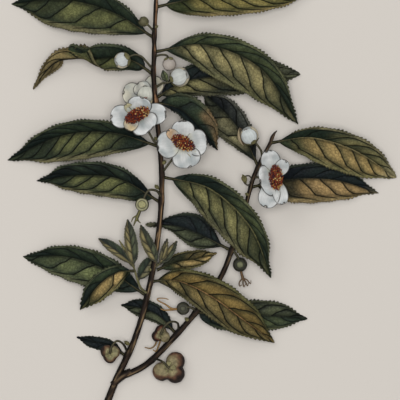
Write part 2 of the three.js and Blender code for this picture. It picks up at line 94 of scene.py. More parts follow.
# The place and the way ahead at t, from 0 to 1, on the smooth line through some points.
def along(points, t):
    given = np.array([point[:3] for point in points], float)
    spots = np.vstack([2 * given[0] - given[1], given, 2 * given[-1] - given[-2]])
    place = np.clip(np.asarray(t, float), 0, 1) * (len(given) - 1)
    first = np.minimum(place.astype(int), len(given) - 2)
    u = (place - first)[..., None]
    p0, p1, p2, p3 = (spots[first + k] for k in range(4))
    m1, m2 = (p2 - p0) / 2, (p3 - p1) / 2
    centre = ((2 * u**3 - 3 * u**2 + 1) * p1 + (u**3 - 2 * u**2 + u) * m1
              + (3 * u**2 - 2 * u**3) * p2 + (u**3 - u**2) * m2)
    ahead = ((6 * u**2 - 6 * u) * (p1 - p2) + (3 * u**2 - 4 * u + 1) * m1 + (3 * u**2 - 2 * u) * m2)
    return centre, unit(ahead)


def lengthOf(points):
    centre, _ = along(points, np.linspace(0, 1, 60))
    return float(np.linalg.norm(np.diff(centre, axis=0), axis=1).sum())


def addNode(tree, kind, inputs=None, **settings):
    made = tree.nodes.new("ShaderNode" + kind)
    for key, value in settings.items():
        setattr(made, key, value)
    for key, value in (inputs or {}).items():
        if isinstance(value, bpy.types.NodeSocket):
            tree.links.new(value, made.inputs[key])
        else:
            made.inputs[key].default_value = value
    return made


def newMaterial(name, **values):
    material = bpy.data.materials.new(name)
    material.use_nodes = True
    shader = material.node_tree.nodes["Principled BSDF"]
    for key, value in values.items():
        shader.inputs[key.replace("_", " ")].default_value = value
    return material, material.node_tree, shader


plainLooks = {"pigment": [0.5, 0.5, 0.5], "veins": [0.0, 0.0, 0.0]}
sharpEdge = 50  # degrees between two faces, from which their edge shows


# One object from several forms. A form is (places, faces, looks), where looks may hold a
# pigment and the veins' coordinates, for each place or for them all, and a material's number.
def makePiece(name, forms, materials, nodes):
    places, faces, slots = [], [], []
    marks = {"pigment": [], "veins": []}
    start = 0
    for points, quads, looks in forms:
        points = np.asarray(points, float).reshape(-1, 3)
        places.append(points)
        faces += [[start + k for k in face] for face in quads]
        slots += [looks.get("material", 0)] * len(quads)
        for key, rows in marks.items():
            given = np.reshape(looks.get(key, plainLooks[key]), (-1, 3))
            rows.append(np.broadcast_to(given, points.shape))
        start += len(points)
    places = (np.concatenate(places) - middle) * 0.001
    places[:, 2] = np.maximum(places[:, 2], 0)  # nothing sinks into what the branch lies on
    mesh = bpy.data.meshes.new(name)
    mesh.from_pydata(places.tolist(), [], faces)
    for material in materials:
        mesh.materials.append(material)
    mesh.polygons.foreach_set("material_index", slots)
    mesh.polygons.foreach_set("use_smooth", [True] * len(faces))
    pigment = np.clip(np.concatenate(marks["pigment"]), 0, 1)
    layer = mesh.attributes.new("pigment", "FLOAT_COLOR", "POINT")
    layer.data.foreach_set("color", np.hstack([pigment, np.ones((len(pigment), 1))]).ravel())
    layer = mesh.attributes.new("veins", "FLOAT_VECTOR", "POINT")
    layer.data.foreach_set("vector", np.concatenate(marks["veins"]).ravel())
    mesh.update()
    mesh.set_sharp_from_angle(angle=math.radians(sharpEdge))
    piece = bpy.data.objects.new(name, mesh)
    bpy.context.scene.collection.objects.link(piece)
    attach(piece, "root")
    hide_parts(*nodes)


# A closed form through rings of points, each ring counter-clockwise round the way forward.
def loftForm(rings, **looks):
    rows, around = rings.shape[:2]
    spot = np.arange(rows * around).reshape(rows, around)
    beside = np.roll(spot, -1, axis=1)
    faces = stacked(spot[:-1], beside[:-1], beside[1:], spot[1:]).reshape(-1, 4).tolist()
    return rings, faces + [spot[0, ::-1].tolist(), spot[-1].tolist()], looks


# A thin closed sheet between an upper and a lower grid of points, with one grid of each look
# for both sides or one for each.
def sheetForm(upper, lower, **looks):
    rows, columns = upper.shape[:2]
    under = rows * columns
    spot = np.arange(under).reshape(rows, columns)
    quads = stacked(spot[:-1, :-1], spot[:-1, 1:], spot[1:, 1:], spot[1:, :-1]).reshape(-1, 4)
    faces = np.stack([quads, under + quads[:, ::-1]], axis=1).reshape(-1, 4).tolist()
    rim = np.concatenate([spot[0], spot[1:, -1], spot[-1, -2::-1], spot[-2:0:-1, 0]]).tolist()
    faces += [[b, a, under + a, under + b] for a, b in zip(rim, rim[1:] + rim[:1])]
    places = np.stack([upper, lower])
    return places, faces, {key: np.broadcast_to(given, places.shape) for key, given in looks.items()}


# The rings of a round limb at t, from 0 to 1: their places, and the way out at each.
def limbRings(points, radii, t, sides):
    centres, aheads = along(points, t)
    side = np.cross(aheads[0], up if abs(aheads[0][2]) <= 0.9 else [0, 1, 0])
    places, ways = [], []
    for centre, ahead, wide in zip(centres, aheads, np.interp(t, np.linspace(0, 1, len(radii)), radii)):
        side = unit(side - ahead * np.dot(side, ahead))
        way = turned(roundAngles(sides), side, np.cross(ahead, side))
        places.append(centre + way * wide)
        ways.append(way)
    return np.array(places), np.array(ways)


def limbForm(points, radii, steps, sides, **looks):
    places, _ = limbRings(points, radii, np.linspace(0, 1, steps + 1), sides)
    return loftForm(places, **looks)


def axesOf(way):  # the unit way and two ways square to it
    way = unit(np.asarray(way, float))
    side = unit(np.cross(way, up if abs(way[2]) < 0.9 else [0.0, 1.0, 0.0]))
    return way, side, np.cross(way, side)


# A form of revolution that points some way from its centre, from [along, radius] rings.
def turnedForm(centre, way, rings, sides, **looks):
    way, side, other = axesOf(way)
    out = turned(roundAngles(sides), side, other)
    return loftForm(np.array([centre + way * step + out * wide for step, wide in rings]), **looks)


def ballRings(radius, rows, long=1.0):
    turns = np.linspace(0.06, np.pi - 0.06, rows)
    return [[-math.cos(a) * radius * long, math.sin(a) * radius] for a in turns]


# The surface of something that grew: its pigment from the mesh, mottled and grained in real
# millimetres, with the grain's relief and the side veins where it has any.
def grownMaterial(name, look):
    material, tree, shader = newMaterial(
        name, IOR=look["ior"], Specular_IOR_Level=look["gloss"], Sheen_Weight=look.get("down", 0.0))
    pigment = addNode(tree, "Attribute", attribute_name="pigment").outputs["Color"]
    veins = addNode(tree, "Attribute", attribute_name="veins").outputs["Vector"]
    spots = addNode(tree, "TexCoord").outputs["Object"]
    if "alongLimb" in look:  # millimetres round and along a stem, in place of the row's metres
        spots = addNode(tree, "VectorMath", {0: veins, 1: (0.001, 0.001 / look["alongLimb"], 0.001)},
                        operation="MULTIPLY").outputs["Vector"]
    cloud = addNode(tree, "TexNoise", {"Vector": spots, "Scale": 1000 / look["cloud"],
                                       "Detail": 3.0}).outputs["Fac"]
    grain = addNode(tree, "TexNoise", {"Vector": spots, "Scale": 1000 / look["grain"], "Detail": 4.0,
                                       "Roughness": 0.6}).outputs["Fac"]
    cells = addNode(tree, "TexVoronoi", {"Vector": spots, "Scale": 1000 / look["cell"]},
                    feature="DISTANCE_TO_EDGE").outputs["Distance"]
    net = addNode(tree, "MapRange", {"Value": cells, 1: 0.0, 2: 0.12, 3: 1.0, 4: 0.0}).outputs["Result"]
    clouded = addNode(tree, "MapRange", {"Value": cloud, 1: 0.3, 2: 0.7, 3: 1 - look["clouding"],
                                         4: 1 + look["clouding"]}).outputs["Result"]
    colour = addNode(tree, "Mix", {0: 1.0, 6: pigment, 7: clouded}, data_type="RGBA",
                     blend_type="MULTIPLY").outputs[2]
    netted = addNode(tree, "Math", {0: net, 1: look["netting"]}, operation="MULTIPLY").outputs["Value"]
    colour = addNode(tree, "Mix", {0: netted, 6: colour, 7: linear(look["veinColour"])},
                     data_type="RGBA").outputs[2]
    height = addNode(tree, "Math", {0: grain, 1: net, 2: look["netDeep"]},
                     operation="MULTIPLY_ADD").outputs["Value"]
    if "veinWide" in look:
        split = addNode(tree, "SeparateXYZ", {"Vector": veins}).outputs
        near = addNode(tree, "Math", {0: split["X"], 1: 0.5}, operation="PINGPONG").outputs["Value"]
        run = addNode(tree, "Math", {0: split["X"], 1: split["Z"]}, operation="MULTIPLY").outputs["Value"]
        strand = addNode(tree, "CombineXYZ", {"X": run, "Y": split["Y"]}).outputs["Vector"]
        strand = addNode(tree, "VectorMath", {0: strand, 1: (1 / look["strand"], 3.5, 1)},
                         operation="MULTIPLY").outputs["Vector"]
        hatch = addNode(tree, "TexNoise", {"Vector": strand, "Scale": 1.0, "Detail": 2.0}).outputs["Fac"]
        hatched = addNode(tree, "MapRange", {"Value": hatch, 1: 0.35, 2: 0.65, 3: 1 - look["stranding"],
                                             4: 1 + look["stranding"]}).outputs["Result"]
        colour = addNode(tree, "Mix", {0: 1.0, 6: colour, 7: hatched}, data_type="RGBA",
                         blend_type="MULTIPLY").outputs[2]
        away = addNode(tree, "Math", {0: near, 1: split["Z"]}, operation="MULTIPLY").outputs["Value"]
        line = addNode(tree, "MapRange", {"Value": away, 1: look["veinWide"] * 0.25,
                                          2: look["veinWide"] * 0.75, 3: 1.0, 4: 0.0},
                       interpolation_type="SMOOTHSTEP").outputs["Result"]
        out = addNode(tree, "Math", {0: split["Y"]}, operation="ABSOLUTE").outputs["Value"]
        inside = addNode(tree, "MapRange", {"Value": out, 1: 0.86, 2: 0.98, 3: 1.0,
                                            4: 0.0}).outputs["Result"]
        line = addNode(tree, "Math", {0: line, 1: inside}, operation="MULTIPLY").outputs["Value"]
        drawn = addNode(tree, "Math", {0: line, 1: look["veinDark"]}, operation="MULTIPLY").outputs["Value"]
        colour = addNode(tree, "Mix", {0: drawn, 6: colour, 7: linear(look["veinColour"])},
                         data_type="RGBA").outputs[2]
        height = addNode(tree, "Math", {0: line, 1: -look["veinDeep"], 2: height},
                         operation="MULTIPLY_ADD").outputs["Value"]
    bump = addNode(tree, "Bump", {"Height": height, "Strength": look["relief"],
                                  "Distance": look["grain"] * 0.0004})
    rough = addNode(tree, "MapRange", {"Value": cloud, 1: 0.3, 2: 0.7, 3: look["roughness"][0],
                                       4: look["roughness"][1]}).outputs["Result"]
    tree.links.new(colour, shader.inputs["Base Color"])
    tree.links.new(rough, shader.inputs["Roughness"])
    tree.links.new(bump.outputs["Normal"], shader.inputs["Normal"])
    return material


# Lengths in a finish are millimetres: cloud and grain are the widths of its blotches and of its
# finest relief, cell that of one mesh of its net of fine veins, strand that of the hatching along
# its side veins, and veinWide how wide those are. The shares say how strongly each one shows.

# Tea leaf, full grown: leathery, with a waxed skin. The wax gives a low, broken gloss. The side
# veins lie sunken and dark, drawn a little wider than life so that they show.
leatheryLeaf = grownMaterial("leatheryTeaLeaf", {
    "ior": 1.45, "gloss": 0.1, "roughness": (0.45, 0.62),
    "cloud": 3.2, "clouding": 0.24, "grain": 0.9, "cell": 2.0, "netting": 0.42, "netDeep": -0.5,
    "strand": 1.1, "stranding": 0.3,
    "veinWide": 0.66, "veinDark": 0.92, "veinDeep": 2.2, "veinColour": "#0f110c", "relief": 0.8,
})
# Tea leaf, just unrolled: thin and downy. The down takes the gloss away and lightens the green.
downyLeaf = grownMaterial("downyYoungLeaf", {
    "ior": 1.45, "gloss": 0.25, "down": 0.15, "roughness": (0.55, 0.7),
    "cloud": 3.0, "clouding": 0.2, "grain": 0.6, "cell": 1.4, "netting": 0.15, "netDeep": -0.4,
    "strand": 0.8, "stranding": 0.2,
    "veinWide": 0.55, "veinDark": 0.85, "veinDeep": 1.5, "veinColour": "#1a1c10", "relief": 0.6,
})

leafBlade = {
    "stalk": 0.07,  # share of the midrib that is leaf stalk
    "stalkWide": 2.0,  # this, tipWide and thick are millimetres
    "tipWide": 1.5,
    "thick": 0.36,
    "keel": (44, 8),  # rings along the stalk and the keel, and places round each
    "belly": [0.48, 0.48],  # where each half is widest
    "taper": 1.5,  # a higher one draws both ends in
    "roll": 0,  # degrees that the blade turns over along its midrib, and between which shares
    "rollSpan": (0.4, 0.72),
    "lead": 0.0,  # how much sooner its left margin turns over
    "pinch": 0.5,  # how much the tip is drawn in
    "tooth": (2.3, 1.05),  # saw teeth: from one to the next, and how far they stand out
    "veinForward": 0.22,  # how far a side vein reaches ahead, as a share of the blade
    "veinGap": 13.0,
    "bayHigh": 0.65,  # the blade swells between its side veins
    "wave": (0.5, 3.2),  # how high the margin waves, and how many times
    "litSpan": (0.0, 0.16, 0.72, 0.9),  # where the bays grow light and dark again, as shares of the blade
    "late": (0.0, 0.0),  # how much further out the left and the right half grow light
    "tipDark": 0.75,
    "bayDark": 0.48,  # how much of each bay, from the vein behind it, is in the dark
    "rib": "#15180f",
    "under": "under",  # the tones of its underside
    # where it has points, from its midrib, 0, to its margin, 1
    "columns": [0, 0.025, 0.06, 0.13, 0.23, 0.34, 0.46, 0.58, 0.7, 0.8, 0.88, 0.94, 0.975, 1],
}
# A leaf that is still young: narrow, thin and folded up, with small teeth.
youngLeaf = {"stalk": 0.05, "stalkWide": 1.4, "thick": 0.3, "fold": [30, 30], "pinch": 0.15,
             "tooth": (1.6, 0.35), "veinGap": 6.5, "bayHigh": 0.35, "wave": (0.2, 2.0), "rib": "#2c2e18",
             "under": "young"}

# For each half of a blade: its ground, the bays between its veins, its margin, and how far out
# from the midrib the bays are lightest. These are the blade's own colours with painted light and
# shade on them: the dark tones, such as night, deep, shaded and dusky, are painted shade on a half
# that is turned away from the light.
leafTones = {
    "night": ("#10151a", "#1f2826", "#343a2e", 0.6),
    "deep": ("#141d1b", "#37422e", "#53583f", 0.7),
    "shaded": ("#12191a", "#2b3529", "#474f3a", 0.7),
    "green": ("#1b2520", "#4e5639", "#666849", 0.6),
    "moss": ("#1d2720", "#697049", "#6a6c4e", 0.45),
    "olive": ("#1c261d", "#666841", "#76704f", 0.4),
    "tan": ("#232c20", "#948a5f", "#716e4b", 0.35),
    "ochre": ("#2a3220", "#a58d5b", "#80784f", 0.4),
    "gold": ("#2f351e", "#857a48", "#8b7c52", 0.4),
    "dusky": ("#121619", "#575a50", "#5b5b50", 0.95),
    "dim": ("#151b18", "#50553e", "#555841", 0.45),
    "amber": ("#25291a", "#857041", "#68653f", 0.35),
    "brass": ("#272a1c", "#796a42", "#6e6643", 0.4),
    "sand": ("#332f1f", "#ae9161", "#96835a", 0.4),
    "grey": ("#1f241c", "#807a5a", "#595742", 0.45),
    "stippled": ("#171f1a", "#827c54", "#504e39", 0.45),
    "tawny": ("#1e281e", "#76724a", "#706b4b", 0.45),
    "patched": ("#1d281f", "#7d7750", "#7c7555", 0.55),
    "under": ("#3d412d", "#62654a", "#68694c", 0.4),
    "turned": ("#554c34", "#8b7b52", "#857653", 0.5),
    "young": ("#3b3721", "#8f845a", "#6b6446", 0.4),
    "youngDark": ("#222219", "#655f43", "#545139", 0.5),
}


def outline(s, belly, taper):
    rise = np.power(np.clip(s, 0, 1) / belly, taper * belly)
    fall = np.power(np.clip(1 - s, 0, 1) / (1 - belly), taper * (1 - belly))
    return rise * fall


def bladeAxes(ahead, t, roll, span):
    level = unit(np.cross(ahead, up))
    right = turned(math.radians(roll) * smooth(t, *span), level, np.cross(ahead, level))
    return right, np.cross(right, ahead)


# Places on a blade, s from its stalk to its tip and w from its left margin, -1, to its right, 1.
def bladePlaces(blade, s, w, rise=0.0, jut=0.0):
    t = blade["stalk"] + (1 - blade["stalk"]) * s
    centre, ahead = along(blade["midrib"], t)
    lead = blade["lead"] * np.clip(-w, 0, 1)
    right, normal = bladeAxes(ahead, t + lead, blade["roll"], blade["rollSpan"])
    side = (w > 0).astype(int)
    half, belly, fold = (np.array(blade[key], float)[side] for key in ("half", "belly", "fold"))
    wide = half * outline(s, belly, blade["taper"]) * (1 - blade["pinch"] * smooth(s, 0.76, 0.98))
    end = blade["tipWide"] * s * (1 - 0.6 * smooth(s, 0.97, 1))
    wide = np.maximum(wide, (blade["stalkWide"] * (1 - s) + end) / 2) + jut
    out = w * wide
    bend = np.abs(w) * (1.14 - 0.14 * w * w)
    if "cupped" in blade:  # folds up more and draws in where it rolls over
        spot, long, more = blade["cupped"]
        narrow = hump(t, spot, long)
        fold = fold + more * narrow
        out = out * (1 - narrow * (1 - 1 / (1 + 0.5 * narrow)))
    height = wide * bend * np.tan(np.radians(fold)) * smooth(s, 0, 0.12) + rise
    return centre + right * out[..., None] + normal * height[..., None]


def bladeSides(blade, s, w, rise, jut=0.0):
    return [bladePlaces(blade, s, w, rise + side * blade["thick"] / 2, jut) for side in (1, -1)]


# How many millimetres of blade one step of the phase covers, at each place of the grid, so
# that a vein keeps its width where it bends.
def phaseLength(places, phase, w):
    lengths = np.zeros(w.shape)
    for half in (w[0] < 0, w[0] > 0):
        spots, steps = places[:, half], phase[:, half]
        rowWay, columnWay = np.gradient(spots, axis=0), np.gradient(spots, axis=1)
        rowStep, columnStep = np.gradient(steps, axis=0), np.gradient(steps, axis=1)
        aa, ab, bb = ((p * q).sum(axis=-1) for p, q in
                      ((rowWay, rowWay), (rowWay, columnWay), (columnWay, columnWay)))
        area = np.maximum(aa * bb - ab * ab, 1e-6)
        slope = (bb * rowStep**2 - 2 * ab * rowStep * columnStep + aa * columnStep**2) / area
        lengths[:, half] = 1 / np.sqrt(np.maximum(slope, 1e-4))
    lengths[:, w[0] == 0] = lengths[:, [int(np.argmax(w[0] > 0))]]
    return lengths


plainVeins = [0.5, 0, 9]  # far from any vein


def leafForms(leaf, seed):
    blade = {**leafBlade, **leaf}
    length = lengthOf(blade["midrib"]) * (1 - blade["stalk"])
    pitch, high = blade["tooth"]
    blade["half"] = [half - 0.5 * high for half in blade["half"]]  # the outline runs half way up the teeth
    rows = int(length / pitch) * 4 + 1
    margin = np.linspace(0, 1, rows)
    forward = 4 * blade["veinForward"]
    q = (1 + forward - np.sqrt((1 + forward) ** 2 - 4 * forward * margin)) / (2 * forward)
    w = np.array([-c for c in reversed(blade["columns"][1:])] + list(blade["columns"]))
    q, w = np.meshgrid(q, w, indexing="ij")
    out = np.abs(w)
    s = np.clip(q + forward * q * (1 - q) * out**1.05, 0, 1)

    # The side veins run along the grid's rows and bend on near the margin, into the next one.
    count = max(3, round(length / blade["veinGap"]))
    straight = bladePlaces(blade, s, w)
    clouds = mottle(straight, 9.0, seed)
    step = np.where(w > 0, 0.35, 0.8) + 0.22 * np.sin(6 * q + seed) + 0.07 * mottle(straight, 4.5, seed + 3)
    phase = count * q + step - 0.85 * smooth(out, 0.7, 0.94)
    part = phase - np.floor(phase)
    bay = np.sin(np.pi * part) ** 0.7 * smooth(out, 0.02, 0.2)
    bay *= 1 - smooth(out, 0.72, 0.95)
    bay *= 1 - smooth(s, 0.9, 1)

    saw = np.tile([0.0, 0.45, 0.8, 1.0], rows // 4 + 1)[:rows] * high
    saw = saw * smooth(margin, 0.06, 0.2) * (1 - smooth(margin, 0.94, 1.0))
    saw = saw * (0.8 + 0.4 * np.sin(margin * 37 + seed))
    jut = np.where(out == 1, saw[:, None], 0.0)
    high, often = blade["wave"]
    rise = blade["bayHigh"] * bay - 0.5 * smooth(out, 0.8, 1)
    rise = rise + high * np.sin(often * 2 * np.pi * s + seed + 1.6 * np.sign(w)) * w**2
    rise = rise * smooth(s, 0, 0.1)
    upper, lower = bladeSides(blade, s, w, rise, jut)

    def paint(names):
        colour = np.zeros(s.shape + (3,))
        # painted light and shade: each bay darkens towards the vein behind it, as the shade behind a
        # sunken vein, and towards the margin, the base and the tip, and no two bays are equally light
        lit = (0.25 + 0.75 * smooth(part, 0.0, blade["bayDark"])) * (1 - 0.6 * smooth(part, 0.9, 0.98))
        lit = lit * (1 + 0.14 * np.sin(2.4 * np.floor(phase) + seed + np.sign(w)))
        lit = lit * (1 - smooth(out, 0.78, 0.88)) * (1 - 0.3 * smooth(out, 0.5, 0.76))
        late = np.where(w > 0, blade["late"][1], blade["late"][0])
        lit = lit * smooth(s - late, *blade["litSpan"][:2])
        lit = lit * (1 - blade["tipDark"] * smooth(s, *blade["litSpan"][2:]))
        lit = lit * (0.82 + 0.45 * clouds)
        for half, name in zip((w <= 0, w > 0), names):
            ground, bayTone, edge = (shade(tone) for tone in leafTones[name][:3])
            far = hump(out, leafTones[name][3], 0.4)
            mixed = blended(ground, bayTone, np.clip(lit * (0.25 + 0.85 * far), 0, 1))
            rim = smooth(out, 0.8, 0.9) * smooth(s, 0.05, 0.3)
            rim = rim * (1 - blade["tipDark"] * smooth(s, 0.8, 0.95))
            mixed = blended(mixed, edge, np.clip(0.85 * rim * (0.8 + 0.5 * clouds), 0, 1))
            colour[half] = mixed[half]
        if "browned" in blade:  # its rolled edge has dried brown
            dry = smooth(-w, 0.25, 0.6) * smooth(s, 0.46, 0.6) * (0.9 + 0.5 * clouds)
            dry = np.clip(dry, 0, 1) * (0.5 + 0.5 * smooth(part, 0.1, 0.5))
            colour = blended(colour, shade("#6f5c41"), dry)
        if "tipTone" in blade:
            tipTone, start = blade["tipTone"]
            tip = 0.8 * smooth(s, start, start + 0.1) * (0.65 + 0.6 * clouds)
            colour = blended(colour, shade(tipTone), tip)
        colour = blended(colour, shade("#12150e"), 0.7 * hump(out, 0.05, 0.03))
        rib = np.clip(1.3 - out / 0.025, 0, 1)
        colour = blended(colour, shade(blade["rib"]), 0.9 * rib)
        return blended(colour, shade("#14150e"), 0.8 * smooth(out, 0.975, 0.99))

    gap = np.clip(phaseLength(upper, phase, w), 1.5, 1.3 * length / count)
    for half, name in zip((w <= 0, w > 0), blade["tones"]):  # finer veins where the blade is dark
        gap[half] *= 1.7 if name in ("night", "deep", "green") else 1.0
    pigment = np.stack([paint(blade["tones"]), paint([blade["under"]] * 2)])
    forms = [sheetForm(upper, lower, pigment=pigment, veins=stacked(phase, w, gap))]

    # The leaf stalk, which runs on as the keel under the midrib.
    rows, around = blade["keel"]
    t = np.linspace(0, 0.93, rows)
    centre, ahead = along(blade["midrib"], t)
    right, normal = bladeAxes(ahead, t, blade["roll"], blade["rollSpan"])
    thick = [blade["stalkWide"] * 0.58, blade["stalkWide"] * 0.48, 0.7, 0.25]
    radius = np.interp(t, [0, 0.07, 0.2, 0.93], thick)[:, None, None]
    centre = centre - normal * (0.45 * smooth(t, 0.06, 0.16))[:, None]
    angles = roundAngles(around)
    ways = turned(angles, right[:, None], -normal[:, None])
    # painted light along the top of the stalk, and painted shade down its sides
    top = smooth(-np.sin(angles) * np.ones((rows, 1)), 0.7, 1.0)
    tone = blended(shade("#17160f"), shade("#565239"), 0.75 * top)
    forms.append(loftForm(centre[:, None] + ways * radius, pigment=tone, veins=plainVeins))
    return forms


